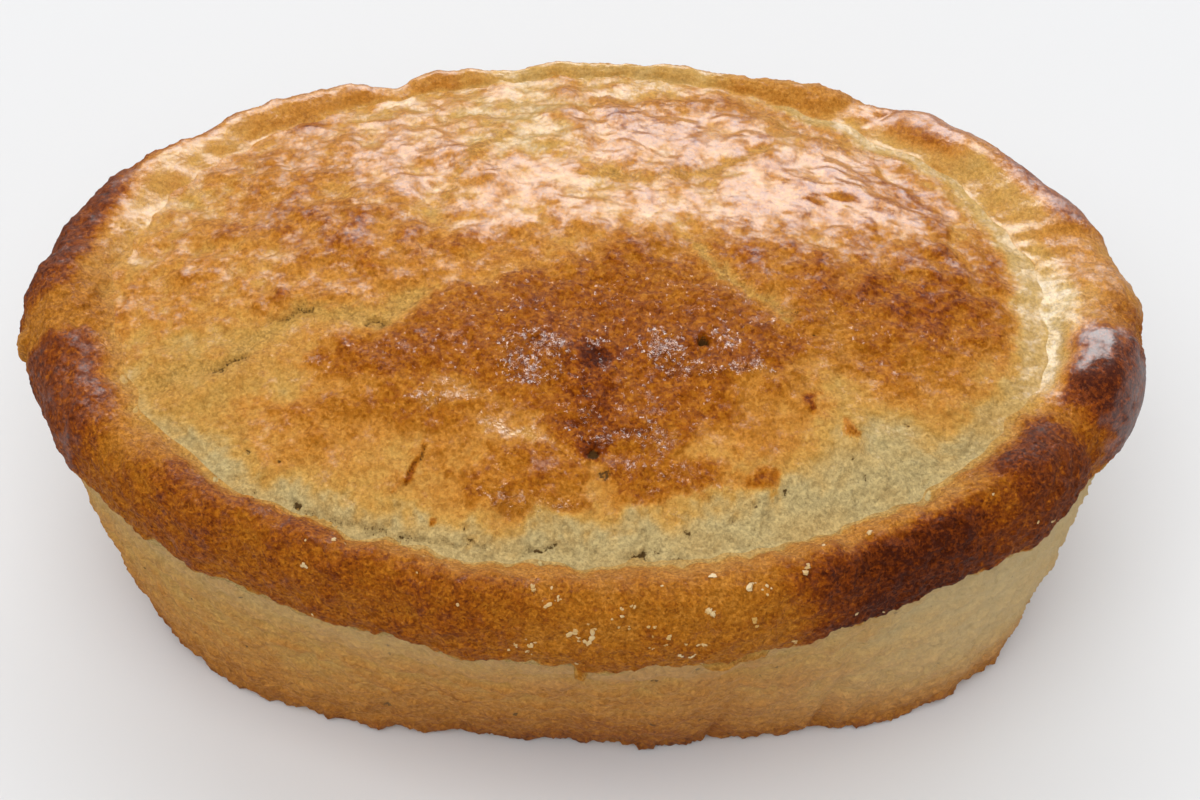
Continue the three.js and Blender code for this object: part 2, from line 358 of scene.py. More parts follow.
# Relief of the lid: shares of grain on glazed and bare crust, heights, and where skin and cracks show.
LID_GRAIN_SHARE = (0.05, 1.1)
LID_LUMP_HEIGHT = 0.16
LID_FRONT = (4, 0)
LID_EDGE = (1, 0.975)
SKIN_FROM = (0.46, 0.6)
LID_CRACK = 0.15
# Painted shade that darkens the cracks of bare crust.
CRACK_DARK = 0.35
CRACKED_LUMPS = (0.2, 0.8)

# Leathery back of the lid: stretch of its wrinkles, heights, crags on bare and glazed crust, and furrows
# with their weight, noise and half width.
WRINKLE_STRETCH = (0.6, 1, 1)
LEATHER_END = (0.99, 0.88)
LEATHER_SWELL = 0.42
LEATHER_LUMP = 0.24
LEATHER_WRINKLE = 0.2
LEATHER_CRAG = (0.5, 0.15)
Furrow = namedtuple("Furrow", "weight noise half")
FURROWS = [Furrow(1.0, Noise(2.6, 31.1), 0.1), Furrow(0.6, Noise(1.2, 51.7), 0.14)]
FURROW_DEPTH = 0.03
FURROW_BROWN = 0.08

# Baked strokes on the rim: angle and half width in degrees, place across from crease 0 to underside 1
# and half width across, browning and glaze. Some pale strokes are partly painted highlights.
RimStroke = namedtuple("RimStroke", "angle half across depth brown glaze")
RIM_STROKES = [
    RimStroke(-85, 55, 0, 0.06, 0.16, 0.1),
    # Back of the rim: pale tan crust, painted paler still as a painted highlight of its sheen.
    RimStroke(88, 46, 0.2, 0.3, 0.22, 0.8),
    RimStroke(90, 60, 0.62, 0.22, 0.52, 0.3),
    RimStroke(26, 26, 0.12, 0.24, 0.27, 0.92),
    RimStroke(53, 9, 0.3, 0.3, 0.46, 0.3),
    # Inner slope at the right end: a pale crease, painted paler still as a painted highlight.
    RimStroke(-4, 10, 0.05, 0.16, 0.12, 0.92),
    # Back-left crown: painted paler as a painted highlight of its sheen.
    RimStroke(152, 15, 0.18, 0.24, 0.32, 0.95),
    RimStroke(126, 18, 0.35, 0.3, 0.44, 0.75),
    RimStroke(140, 14, 0.6, 0.2, 0.62, 0.5),
    RimStroke(35, 7, 0.45, 0.3, 0.62, 0.9),
    RimStroke(18, 7, 0.6, 0.25, 0.78, 0.8),
    RimStroke(8, 5, 0.5, 0.3, 0.45, 0.6),
    RimStroke(-9.5, 5, 0.48, 0.3, 0.95, 1.0),
    RimStroke(-24, 6, 0.5, 0.32, 0.86, 0.15),
    RimStroke(-48, 15, 0.62, 0.24, 0.95, 0.08),
    RimStroke(-88, 26, 0.6, 0.25, 0.6, 0.2),
    RimStroke(-120, 14, 0.6, 0.28, 0.7, 0.2),
    RimStroke(-138, 8, 0.5, 0.35, 0.7, 0.25),
    RimStroke(-150, 5, 0.5, 0.3, 0.74, 0.3),
    RimStroke(-172, 7, 0.55, 0.35, 0.84, 0.5),
    RimStroke(168, 9, 0.6, 0.3, 0.88, 0.25),
    RimStroke(154, 6, 0.62, 0.22, 0.8, 0.25),
    RimStroke(180, 2.2, 0.5, 0.4, 0.55, 0.2),
]
RIM_PROFILE = ([0, 0.08, 0.2, 0.4, 0.6, 0.8], [0.34, 0.39, 0.46, 0.58, 0.67, 0.63])
STROKE_ENDS = (1.5, 0.6)
STROKE_SIDES = (1.4, 0.7)
RIM_ACROSS_WAVER = 0.04
RIM_TURN_WAVER = 1.2
RIM_GLAZE = 0.15
RIM_GRIT = 0.9
RIM_BACK = (0, 20)
RIM_BACK_GRIT = 0.6
RIM_MOTTLE = 0.05

# Relief of the rim: its skin from the crease to the lip, grain on glazed and bare crust, heights, and folds.
RIM_SKIN = 0.2
RIM_SKIN_START = 0.2
RIM_SKIN_END = 0.82
RIM_LIP_FADE = 0.03
RIM_LIP_BROWN = 0.12
RIM_GRAIN_SHARE = (0.15, 1.2)
RIM_SWELL_HEIGHT = 0.2
RIM_LUMP_HEIGHT = 0.15
RIM_CRACK = 0.12
RIM_EDGE = (0, 0.05)
RIM_FOLDS = {"angle": 9, "half": 9, "spacing": 3.1, "height": 0.1, "waver": 0.9, "across": (0.7, 0.3)}

# Flakes that stand out of the rim: angle and half width in degrees, place across, half width, height.
Flake = namedtuple("Flake", "angle half across depth height")
FLAKE_TURN_WAVER = 0.5
FLAKE_ACROSS_WAVER = 0.02
FLAKE_EDGE = (1.2, 0.8)
FLAKE_BROWN = 0.45
RIM_FLAKES = [
    Flake(180, 1.1, 0.62, 0.05, 0.7),
    Flake(-94, 1.0, 0.87, 0.05, 0.9),
    Flake(-71, 5, 0.87, 0.04, 0.7),
]

# Clusters of loose crumbs on the rim: angle and place across, then their half widths. Some crumbs are strewn.
CRUMB_CLUSTERS = [(-103, 0.68), (-94, 0.58), (-84, 0.58), (-100, 0.42), (-67, 0.42), (-78, 0.64), (-88, 0.5)]
CLUSTER_HALF = (2.4, 0.06)
STREWN_EVERY = 3
STREWN_ANGLE = -85
STREWN_HALF = 60
STREWN_ACROSS = (0.2, 0.8)

# Shape of a crumb: number of bits, how ragged each is, how far aside it lies, its stretch, how high it sits,
# and the power by which small ones outnumber large ones.
CRUMB_BITS = (1, 4)
CRUMB_RAGGED = (0.4, 1.3)
CRUMB_ASIDE = 0.6
CRUMB_STRETCH = [(0.7, 1.4), (0.6, 1.0), (0.35, 0.6)]
CRUMB_RAISE = 0.1
CRUMB_SKEW = 2.5

# Browning of the wall by height, shifted and varied by level streaks and lumps, browner in front, and paler
# at the right as painted light. A pair is an angle and half width in degrees, or heights between which a
# change goes on.
WALL_PROFILE = ([0, 2, 6, 12, 20, 26], [0.62, 0.56, 0.48, 0.39, 0.3, 0.21])
WALL_LEVEL = (0.22, 0.22, 1)
WALL_FRONT = (-85, 40)
WALL_RIGHT = (-22, 30)
WALL_STREAK_SHIFT = 2.5
WALL_LUMP_SHIFT = 1.5
WALL_STREAK_BROWN = 0.14
WALL_FRONT_BROWN = 0.12
WALL_RIGHT_PAINTED_LIGHT = 0.22
WALL_RIGHT_RISE = (0, 12)
WALL_MOTTLE = 0.08
WALL_GRIT = 0.55

# Pale dust along the top of the wall, and painted light as a paler right side.
PAINTED_LIGHT_RIGHT = 0.85
PAINTED_LIGHT_RIGHT_RISE = (0, 14)
DUST_TOP = 0.42
DUST_TOP_RISE = (18, 25)
DUST_STREAK_SHIFT = 2

# Relief of the wall: streaks, grain, crags of the foot and strewn pores, wider than high, with painted shade
# in them.
WALL_STREAK_HEIGHT = 0.24
WALL_GRAIN_SHARE = 1.4
FOOT_CRAG = 0.35
FOOT_CRAG_RISE = (2.5, 0.5)
WALL_PORES = 220
WALL_PORE_SHAKE = 0.25
WALL_PORE_RADIUS = (0.12, 0.36)
WALL_PORE_SQUASH = (0.6, 0.6, 1.3)
WALL_PORE_DEPTH = 0.7
# How dark the painted shade in the wall's pores is.
WALL_PORE_DARK = 0.75

# Finish of a crust: size of its grains in metres, how unevenly they browned, shine and roughness.
Finish = namedtuple("Finish", "name grain_size spread shine roughness")
LID_FINISH = Finish("lid crust", 0.0006, 0.35, 0.05, 0.6)
RIM_FINISH = Finish("rim crust", 0.0005, 0.3, 0.08, 0.6)
WALL_FINISH = Finish("wall crust", 0.0007, 0.35, 0.25, 0.75)
CRUMB_GRAIN_SIZE = 0.0008

# Clouds of noise in the crumb: how many times finer than its grains, and detail. Sandy grains lie in them.
Cloud = namedtuple("Cloud", "name fineness detail")
CLOUDS = [Cloud("Grain", 1.0, 5.0), Cloud("Speckle", 0.33, 4.0), Cloud("Crinkle", 2.2, 2.0)]
SHAKE_FINENESS = 1.5
SAND_FINENESS = 2.0
SAND_SHAKE = 0.00018
SAND_SHARE = 0.5

# Browning at which each colour of the crust is reached.
BAKING_STOPS = {
    "crumb": 0.0,
    "straw": 0.24,
    "golden": 0.44,
    "amber": 0.58,
    "caramel": 0.7,
    "brown": 0.82,
    "dark": 1.0,
}

# How speckle changes the browning, how grit and crinkle change its lightness, and how painted shade darkens
# pores.
# A pair is a factor and what is added to it.
SPECKLE_SHARE = 0.3
GRIT_LIGHT = (0.5, 0.15)
CRINKLE_LIGHT = 0.6
PORE_RAG = 0.5
PORE_SHADE_COVER = 0.92

# Egg wash: bump of grain by glaze and of crinkle by film in millimetres, then sheen, flecks and glints.
# A pair is a factor and what is added to it.
GRAIN_BUMP = (-0.21, 0.22)
FILM_BUMP = (0.09, 0.008)
FILM_SHEEN = 0.42
SHEEN_FLECKS = 0.8
GLINT_RAG = 0.3
GLINT_CLUSTERS = (0.85, 0.1)

# Dry crust of the wall: bump of grain and crinkle, tone of its dust and painted light, and how far they cover
# it.
DRY_GRAIN_BUMP = 0.12
DRY_CRINKLE_BUMP = 0.04
DUST_AND_LIGHT_TONE = 0.95
DUST_AND_LIGHT_COVER = (0.75, 0.05)

# Studio: floor and soft lights in metres, with what doesn't see each light, and the camera's aim and sensor
# in millimetres.
FLOOR_HALF = 3
FLOOR_CELLS = 8
FLOOR_SHADE = 0.97
SoftLight = namedtuple("SoftLight", "name place size unseen")
LIGHTS = {
    "window": SoftLight("window light", (0, 1.6, 2.4), (3.0, 2.0), "visible_glossy"),
    "ceiling": SoftLight("ceiling light", (-0.4, -1.1, 2.6), (2.4, 2.0), "visible_glossy"),
    "sheen": SoftLight("sheen light", (0.32, 3.0, 2.0), (5.2, 3.4), "visible_diffuse"),
}
LIGHT_AIM = (0, 0, 0.03)
CAMERA_AIM = (3.34, 19.55, 0)
SENSOR_WIDTH = 36
CLIP_START = 0.01


class TartSizes(bpy.types.PropertyGroup):
    """Sizes of the tart's form."""

    rim_length: bpy.props.FloatProperty(
        name="Rim Length", description="Length of the rim's oval", default=0.105, unit="LENGTH")
    rim_width: bpy.props.FloatProperty(
        name="Rim Width", description="Width of the rim's oval", default=0.0666, unit="LENGTH")
    crease_length: bpy.props.FloatProperty(
        name="Crease Length", description="Length of the lid inside the crease",
        default=0.0864, unit="LENGTH")
    crease_width: bpy.props.FloatProperty(
        name="Crease Width", description="Width of the lid inside the crease", default=0.058, unit="LENGTH")
    base_length: bpy.props.FloatProperty(
        name="Base Length", description="Length of the flat base", default=0.0865, unit="LENGTH")
    base_width: bpy.props.FloatProperty(
        name="Base Width", description="Width of the flat base", default=0.049, unit="LENGTH")
    rim_low: bpy.props.FloatProperty(
        name="Rim Underside", description="Height of the rim's underside", default=0.026, unit="LENGTH")
    rim_middle: bpy.props.FloatProperty(
        name="Rim Middle", description="Height of the rim's widest line", default=0.0304, unit="LENGTH")
    rim_top: bpy.props.FloatProperty(
        name="Rim Top", description="Height of the rim's crown", default=0.0362, unit="LENGTH")
    crease_height: bpy.props.FloatProperty(
        name="Crease Height", description="Height of the crease between rim and lid",
        default=0.0348, unit="LENGTH")
    dome_rise: bpy.props.FloatProperty(
        name="Dome Rise", description="How far the lid domes up over the crease",
        default=0.0066, unit="LENGTH")
    overhang: bpy.props.FloatProperty(
        name="Overhang", description="How far the rim stands out over the wall", default=0.002, unit="LENGTH")
    skin: bpy.props.FloatProperty(
        name="Skin", description="How far the glazed skin stands over bare crumb",
        default=0.00016, unit="LENGTH")
    grain: bpy.props.FloatProperty(
        name="Grain", description="Height of the crumb's grain", default=0.00028, unit="LENGTH")


class TartColours(bpy.types.PropertyGroup):
    """Colours of the crust from raw to darkest."""

    crumb: bpy.props.FloatVectorProperty(
        name="Crumb", description="Pale crumb that hardly browned",
        subtype="COLOR", default=(0.465, 0.352, 0.155))
    straw: bpy.props.FloatVectorProperty(
        name="Straw", description="First colour of baking", subtype="COLOR", default=(0.5, 0.275, 0.062))
    golden: bpy.props.FloatVectorProperty(
        name="Golden", description="Golden crust", subtype="COLOR", default=(0.48, 0.2, 0.03))
    amber: bpy.props.FloatVectorProperty(
        name="Amber", description="Egg-washed crust", subtype="COLOR", default=(0.39, 0.135, 0.009))
    caramel: bpy.props.FloatVectorProperty(
        name="Caramel", description="Thick egg wash", subtype="COLOR", default=(0.3, 0.08, 0.003))
    brown: bpy.props.FloatVectorProperty(
        name="Brown", description="Well-baked crust", subtype="COLOR", default=(0.185, 0.036, 0.002))
    dark: bpy.props.FloatVectorProperty(
        name="Dark", description="Darkest crust", subtype="COLOR", default=(0.07, 0.011, 0.0015))
    flake: bpy.props.FloatVectorProperty(
        name="Flake", description="Loose flakes of crumb", subtype="COLOR", default=(0.62, 0.46, 0.24))
    # Painted shade: the dark colour put inside holes, pores, cracks and dark slits.
    pore: bpy.props.FloatVectorProperty(
        name="Pore", description="Inside of holes and pores", subtype="COLOR", default=(0.085, 0.042, 0.012))


class CrumbSettings(bpy.types.PropertyGroup):
    """Loose crumbs that cling to the tart."""

    count: bpy.props.IntProperty(name="Count", description="How many loose crumbs there are", default=80)
    smallest: bpy.props.FloatProperty(
        name="Smallest", description="Radius of the smallest crumb", default=0.00012, unit="LENGTH")
    largest: bpy.props.FloatProperty(
        name="Largest", description="Radius of the largest crumb", default=0.00042, unit="LENGTH")
    seed: bpy.props.IntProperty(name="Seed", description="Start of the random draws", default=11)


class StudioSettings(bpy.types.PropertyGroup):
    """Floor, light and camera."""

    floor: bpy.props.FloatVectorProperty(
        name="Floor", description="Colour of the floor", subtype="COLOR", default=(0.7, 0.705, 0.715))
    sky: bpy.props.FloatProperty(name="Sky", description="Strength of the even light", default=0.56)
    shine: bpy.props.FloatProperty(
        name="Shine", description="Strength of the even light in reflections", default=0.05)
    window: bpy.props.FloatProperty(
        name="Window", description="Power of the soft light that shades the tart", default=31.0, unit="POWER")
    ceiling: bpy.props.FloatProperty(
        name="Ceiling", description="Power of the soft light over the front", default=53.0, unit="POWER")
    sheen: bpy.props.FloatProperty(
        name="Sheen", description="Power of the soft light that only the glaze mirrors",
        default=480.0, unit="POWER")
    azimuth: bpy.props.FloatProperty(
        name="Azimuth", description="Turn of the camera round the tart",
        default=math.radians(-6.1), subtype="ANGLE")
    elevation: bpy.props.FloatProperty(
        name="Elevation", description="Camera's height over the horizon",
        default=math.radians(51), subtype="ANGLE")
    roll: bpy.props.FloatProperty(
        name="Roll", description="Camera's roll", default=0.073, subtype="ANGLE")
    distance: bpy.props.FloatProperty(
        name="Distance", description="From the aim point to the camera", default=0.3694, unit="LENGTH")
    lens: bpy.props.FloatProperty(
        name="Lens", description="Focal length on a 36 mm frame", default=107.2, unit="CAMERA")


class TartSettings(bpy.types.PropertyGroup):
    """All settings of the tart."""

    sizes: bpy.props.PointerProperty(type=TartSizes, name="Sizes", description="Sizes of the form")
    colours: bpy.props.PointerProperty(type=TartColours, name="Colours", description="Colours of the crust")
    crumbs: bpy.props.PointerProperty(type=CrumbSettings, name="Crumbs", description="Loose crumbs")
    studio: bpy.props.PointerProperty(type=StudioSettings, name="Studio", description="Floor, light, camera")


# Helpers for shapes and fields


def mix(low, high, share):
    """Value a share of the way from low to high."""
    return low + (high - low) * share


def smooth(low, high, value):
    """Smooth step from 0 at low to 1 at high."""
    share = np.clip((value - low) / (high - low), 0, 1)
    return share * share * (3 - 2 * share)


def bell(distance, half):
    """Bump of height 1 that fades out over a half width."""
    return np.exp(-((distance / half) ** 2))


def apart(angle, other):
    """Difference of two angles in degrees, from -180 to 180."""
    return (angle - other + 180) % 360 - 180


def noise_at(points, size, shift):
    """Smooth noise from about -1 to 1 at each point, with features of the given size."""
    return np.array([noise.noise(p) for p in (points / size + shift).tolist()])


def rough_at(points, size, shift):
    """Rough noise with finer and finer features, the largest of the given size, at each point."""
    return np.array([noise.fractal(p, *ROUGH_LAYERS) for p in (points / size + shift).tolist()])


def unevenness(wave, x, y):
    """Gentle waves of hand-worked dough: a few plane waves turned by the golden angle."""
    total = np.zeros_like(x)
    for k in range(WAVES):
        heading = k * GOLDEN_ANGLE + wave.phase
        along = x * math.cos(heading) + y * math.sin(heading)
        total += np.sin(2 * math.pi * along / (wave.wavelength * (1 - WAVE_SHRINK * k)) + k * k * wave.phase)
    return wave.height * total / math.sqrt(WAVES)


def around(places, angle, measure):
    """Sum of one measure over places round the tart, at each angle in radians."""
    turn = np.degrees(angle)
    return sum(getattr(p, measure) * bell(apart(turn, p.angle), p.half) for p in places)


def outline(oval, angle, margin):
    """Points of an oval in the directions of the angles, moved out by a margin."""
    own = angle - math.radians(oval.turn)
    along_x = np.abs(2 * np.cos(own) / oval.length) ** oval.squareness
    along_y = np.abs(2 * np.sin(own) / oval.width) ** oval.squareness
    plain = (along_x + along_y) ** (-1 / oval.squareness)
    reach = plain * (1 + oval.pear * np.sin(3 * own)) + margin
    return np.stack([oval.centre[0] + reach * np.cos(angle), oval.centre[1] + reach * np.sin(angle)], axis=1)


def line_distance(x, y, corners):
    """Distance from each place to a line through the corners."""
    nearest = np.full_like(x, np.inf)
    for (ax, ay), (bx, by) in zip(corners, corners[1:]):
        dx, dy = bx - ax, by - ay
        share = np.clip(((x - ax) * dx + (y - ay) * dy) / (dx * dx + dy * dy), 0, 1)
        nearest = np.minimum(nearest, np.hypot(x - ax - share * dx, y - ay - share * dy))
    return nearest


def depth_inside(x, y, corners):
    """Distance of each place from the edge of an outline, positive inside it."""
    inside = np.zeros(x.shape, bool)
    for (ax, ay), (bx, by) in zip(corners, corners[1:] + corners[:1]):
        if ay != by:
            crossing = ax + (y - ay) / (by - ay) * (bx - ax)
            inside ^= ((ay > y) != (by > y)) & (x < crossing)
    reach = line_distance(x, y, corners + corners[:1])
    return np.where(inside, reach, -reach)


def spot_distance(x, y, spot):
    """Distance from a spot's middle, in its own half lengths."""
    turn = math.radians(spot.turn)
    dx, dy = x - spot.x, y - spot.y
    along = dx * math.cos(turn) + dy * math.sin(turn)
    across = dy * math.cos(turn) - dx * math.sin(turn)
    return np.hypot(along / spot.along, across / spot.across)


# The tart's smooth form


class Section:
    """Lines of the tart's section in the direction of each angle."""

    def __init__(self, sizes, angle):
        rim = Oval(sizes.rim_length / MM, sizes.rim_width / MM, **RIM_SHAPE)
        crease = Oval(sizes.crease_length / MM, sizes.crease_width / MM, **CREASE_SHAPE)
        base = Oval(sizes.base_length / MM, sizes.base_width / MM, **BASE_SHAPE)
        plain = outline(rim, angle, 0)
        lump = unevenness(RIM_LUMP, *plain.T)
        chip = around(BASE_PLACES, angle, "outward")
        rag = unevenness(BASE_RAG, *outline(base, angle, 0).T)
        self.degrees = np.degrees(angle)
        self.outward = np.stack([np.cos(angle), np.sin(angle)], axis=1)
        self.lid_middle = np.array(crease.centre)
        self.base_middle = np.array(base.centre)
        inner = outline(crease, angle, 0)
        self.crease = outline(crease, angle, lump + unevenness(CREASE_RAG, *inner.T))
        self.widest = outline(rim, angle, lump + around(RIM_PLACES, angle, "outward"))
        self.crown = mix(self.widest, self.crease, RIM_TOP_SHARE)
        self.wall_top = outline(rim, angle, -sizes.overhang / MM)
        self.edge = outline(base, angle, rag + chip)
        self.foot = outline(base, angle, chip - BASE_ROUND)
        self.crease_height = sizes.crease_height / MM
        self.fill = around(CREASE_FILLS, angle, "up") + unevenness(CREASE_STEP, *inner.T)
        self.dome_rise = sizes.dome_rise / MM
        self.middle = sizes.rim_middle / MM
        self.low = sizes.rim_low / MM + unevenness(UNDERSIDE_RAG, *plain.T)
        top = sizes.rim_top / MM + lump + around(RIM_PLACES, angle, "up")
        self.top = np.maximum(top, self.crease_height + self.fill)


def lid_form(section, share, sunk):
    """Domed lid, from its middle out to the crease and down out of sight under the rim."""
    plan = mix(section.lid_middle, section.crease, share[:, None])
    lumps = unevenness(LID_LUMP, *plan.T) + unevenness(LID_DIMPLE, *plan.T)
    edge = (1 - share) ** 2 / (1 - share + DOME_FOOT)
    rise = section.dome_rise * (1 - (1 - edge) ** DOME_SHOULDER)
    height = section.crease_height + rise + (1 - share ** LUMP_FADE) * lumps
    height += section.fill * share ** CREASE_FILL_POWER
    plan = plan + section.outward * (TUCK_ASIDE * sunk)[:, None]
    return np.column_stack([plan, height - TUCK_DOWN * sunk])


def rim_form(section, across, sunk, tucked):
    """Thick rim from the crease over the crown and widest line to the underside, both ends tucked away."""
    turn = math.pi - across * 1.5 * math.pi
    to_crease = np.clip(turn / (math.pi / 2) - 1, 0, 1)
    inner = turn > math.pi / 2
    roll = (1 - np.cos(np.minimum(turn, math.pi / 2)))[:, None]
    side = np.where((turn > 0)[:, None], section.crown, section.wall_top)
    outer_plan = mix(section.widest, side, roll)
    inner_plan = mix(section.crown, section.crease, to_crease[:, None])
    plan = np.where(inner[:, None], inner_plan, outer_plan)
    plan = plan - section.outward * (TUCK_ASIDE * sunk + UNDER_INWARD * tucked)[:, None]
    lift = np.where(turn > 0, section.top - section.middle, section.middle - section.low)
    drop = (section.top - section.crease_height - section.fill) * 0.5 * (1 - np.cos(math.pi * to_crease))
    height = np.where(inner, section.top - drop, section.middle + lift * np.sin(turn))
    return np.column_stack([plan, height - TUCK_DOWN * sunk + UNDER_UP * tucked])


def wall_form(section, above, down, foot, inside):
    """Flared wall from under the rim down to the rounded foot, then the flat base."""
    slope = section.wall_top - section.edge
    slope /= np.linalg.norm(slope, axis=1)[:, None]
    plan = mix(section.wall_top, section.edge, down[:, None])
    plan = plan + slope * (WALL_BULGE * np.sin(math.pi * down))[:, None]
    plan = mix(plan, section.foot, (1 - np.cos(foot * math.pi / 2))[:, None])
    plan = mix(plan, section.base_middle, BASE_INWARD * inside[:, None])
    height = mix(section.low, BASE_ROUND, down) - BASE_ROUND * np.sin(foot * math.pi / 2)
    height = mix(height, section.middle, above)
    return np.column_stack([plan, height])


def standing_shift(sizes):
    """How far the tart's own frame lies from the middle of its box."""
    section = Section(sizes, np.linspace(-math.pi, math.pi, OUTLINE_STEPS))
    low, high = section.widest.min(axis=0), section.widest.max(axis=0)
    return np.array([*((low + high) / 2), 0])


# Flat sheets that are folded into the tart


def grow_rings(sheet, edges, count):
    """Adds rings of faces round the outer edge of a flat sheet, and returns the new outer edge."""
    for ring in range(count):
        grown = bmesh.ops.extrude_edge_only(sheet, edges=edges)["geom"]
        verts = [part for part in grown if isinstance(part, bmesh.types.BMVert)]
        edges = [part for part in grown if isinstance(part, bmesh.types.BMEdge) and part.is_boundary]
        ratio = (1 + (ring + 1) * RING_STEP) / (1 + ring * RING_STEP)
        bmesh.ops.scale(sheet, verts=verts, vec=(ratio, ratio, 1))
    return edges


def flat_mesh(sheet, name):
    """Mesh of a flat sheet, and the place of its vertices."""
    mesh = bpy.data.meshes.new(name)
    sheet.to_mesh(mesh)
    sheet.free()
    flat = np.zeros(len(mesh.vertices) * 3)
    mesh.vertices.foreach_get("co", flat)
    return mesh, flat.reshape(-1, 3)[:, :2].T


def lid_sheet():
    """Grid with a few rings round it to tuck under the rim, closed below."""
    sheet = bmesh.new()
    bmesh.ops.create_grid(sheet, x_segments=LID_GRID[0], y_segments=LID_GRID[1], size=1)
    edge = grow_rings(sheet, [e for e in sheet.edges if e.is_boundary], TUCK_RINGS)
    bmesh.ops.holes_fill(sheet, edges=edge, sides=0)
    return flat_mesh(sheet, "lid")


def ring_sheet(name, steps, rings, closed_ring):
    """Rings round an open circle, closed to a hollow ring or by a face at each end."""
    sheet = bmesh.new()
    bmesh.ops.create_circle(sheet, segments=steps, radius=1)
    start = list(sheet.edges)
    end = grow_rings(sheet, start, rings)
    if closed_ring:
        bmesh.ops.bridge_loops(sheet, edges=start + end)
    else:
        bmesh.ops.holes_fill(sheet, edges=start, sides=0)
        bmesh.ops.holes_fill(sheet, edges=end, sides=0)
    return flat_mesh(sheet, name)


def grid_places(sizes, x, y):
    """Station from the middle outwards and angle round it, of each place on the lid's flat grid."""
    station = np.maximum(np.abs(x), np.abs(y))
    safe = np.where(station > 0, station, 1)
    sideways = np.abs(x) >= np.abs(y)
    beside = np.pi / 4 * y / safe * np.sign(x)
    ahead = np.pi / 2 - np.pi / 4 * x / safe * np.sign(y)
    turn = np.where(sideways, beside, ahead)
    turn = np.where(sideways & (x < 0) | ~sideways & (y < 0), turn + np.pi, turn)
    return station, oval_angle(sizes, turn)


def ring_places(sizes, x, y):
    """Ring number and angle of each place on a flat sheet of rings."""
    ring = np.rint((np.hypot(x, y) - 1) / RING_STEP)
    return ring, oval_angle(sizes, np.arctan2(y, x))


def oval_angle(sizes, turn):
    """Direction of the point that a turn round a circle has on the stretched oval."""
    return np.arctan2(sizes.crease_width * np.sin(turn), sizes.crease_length * np.cos(turn))


# Baking: how brown, glazed and rough each place is


class Skin:
    """Fields over one piece of the crust, one number for each vertex."""

    def __init__(self, points):
        self.points = points
        self.x, self.y, self.z = points.T
        self.ragged = sum(share * noise_at(points, *layer) for share, layer in RAGGED)
        self.lumps = noise_at(points, *LUMPS)
        self.swells = noise_at(points, *SWELLS)
        self.fine = noise_at(points, *FINE)
        self.grain = rough_at(points, *GRAIN)
        shaken = points + CRACK_SHAKE * self.grain[:, None]
        self.cracks = bell(noise_at(shaken, *CRACKS), CRACK_HALF)
        for field in (*BAKED_FIELDS, "relief"):
            setattr(self, field, np.zeros(len(points)))

    def warped(self):
        """Places in plan, shifted by noise so that what is painted on them gets ragged edges."""
        places = [self.x, self.y]
        for warp in WARPS:
            places = [axis + warp.reach * noise_at(self.points, warp.size, shift)
                      for axis, shift in zip(places, warp.shifts)]
        return places


def facing(section, angle, half):
    """How much each place faces the direction of an angle, fading out over a half width."""
    return bell(apart(section.degrees, angle), half)


def lumpy_skin(skin):
    """Where the lid's skin is lumpy: over its back half and further forward at both ends."""
    ends = np.maximum(0, np.abs(skin.x) - LUMPY_END)
    return smooth(*LUMPY_FROM, skin.y + LUMPY_PULL * ends)


def paint_patches(skin, x, y):
    """Patches of browning and glaze laid one over the other, and patches of dried film."""
    skin.browning += LID_BASE.brown
    skin.glaze += LID_BASE.glaze
    for patch in LID_PATCHES:
        cover = smooth(-patch.edge, patch.edge, depth_inside(x, y, patch.corners))
        skin.browning = mix(skin.browning, patch.brown, cover)
        skin.glaze = mix(skin.glaze, patch.glaze, cover)
    for film in FILMS:
        cover = film.strength * smooth(-FILM_EDGE, FILM_EDGE, depth_inside(x, y, film.corners))
        skin.film = np.maximum(skin.film, cover)


def mottle_lid(skin):
    """Faint film on the amber crust of the front, and mottled browning that is calmer there."""
    back = lumpy_skin(skin)
    amber = smooth(*AMBER_FROM, skin.browning)
    skin.film = np.maximum(skin.film, AMBER_FILM * amber * (1 - back))
    calm = mix(1, CALM_SHARE, smooth(*CALM_FROM, skin.browning) * (1 - back))
    mottle = mix(*MOTTLE, back) * (skin.swells + skin.lumps) + mix(*GRAIN_MOTTLE, back) * skin.grain
    skin.browning += calm * mottle


def paint_crease(skin, section, share):
    """Sandy belt along the front crease, and pale groove along the rest of it."""
    rag = sum(weight * field for weight, field in zip(BELT_RAG, (skin.ragged, skin.lumps, skin.grain)))
    low, high = BELT_ANGLES
    ends = smooth(low - BELT_END, low + BELT_END, section.degrees)
    ends = ends * smooth(high + BELT_END, high - BELT_END, section.degrees)
    start = np.interp(section.degrees, *BELT_START)
    belt = ends * smooth(start, start + BELT_FADE, share + rag)
    skin.browning = mix(skin.browning, BELT_BROWN * np.maximum(skin.swells, 0), belt)
    skin.glaze = mix(skin.glaze, BELT_GLAZE, belt)
    skin.grit += mix(LID_GRIT, BELT_GRIT, belt)
    start = np.interp(section.degrees, *GROOVE_START)
    groove = smooth(start, start + GROOVE_FADE, share + GROOVE_RAG * rag)
    skin.browning = mix(skin.browning, np.minimum(skin.browning, GROOVE_BROWN), groove)
    skin.glaze = mix(skin.glaze, GROOVE_GLAZE, groove * smooth(*GROOVE_GLAZED, section.degrees))


def paint_spots(skin, x, y):
    """Small browned spots, less ragged than the patches."""
    x, y = mix(skin.x, x, SPOT_WARP), mix(skin.y, y, SPOT_WARP)
    for spot in LID_SPOTS:
        cover = smooth(*SPOT_EDGE, spot_distance(x, y, spot) + SPOT_RAG * skin.grain)
        skin.browning = mix(skin.browning, spot.brown, cover)
        skin.glaze *= 1 - cover


def bake_lid(skin, section, share):
    """Browning, glaze and film of the lid, painted one over the other."""
    x, y = skin.warped()
    paint_patches(skin, x, y)
    mottle_lid(skin)
    paint_crease(skin, section, share)
    paint_spots(skin, x, y)


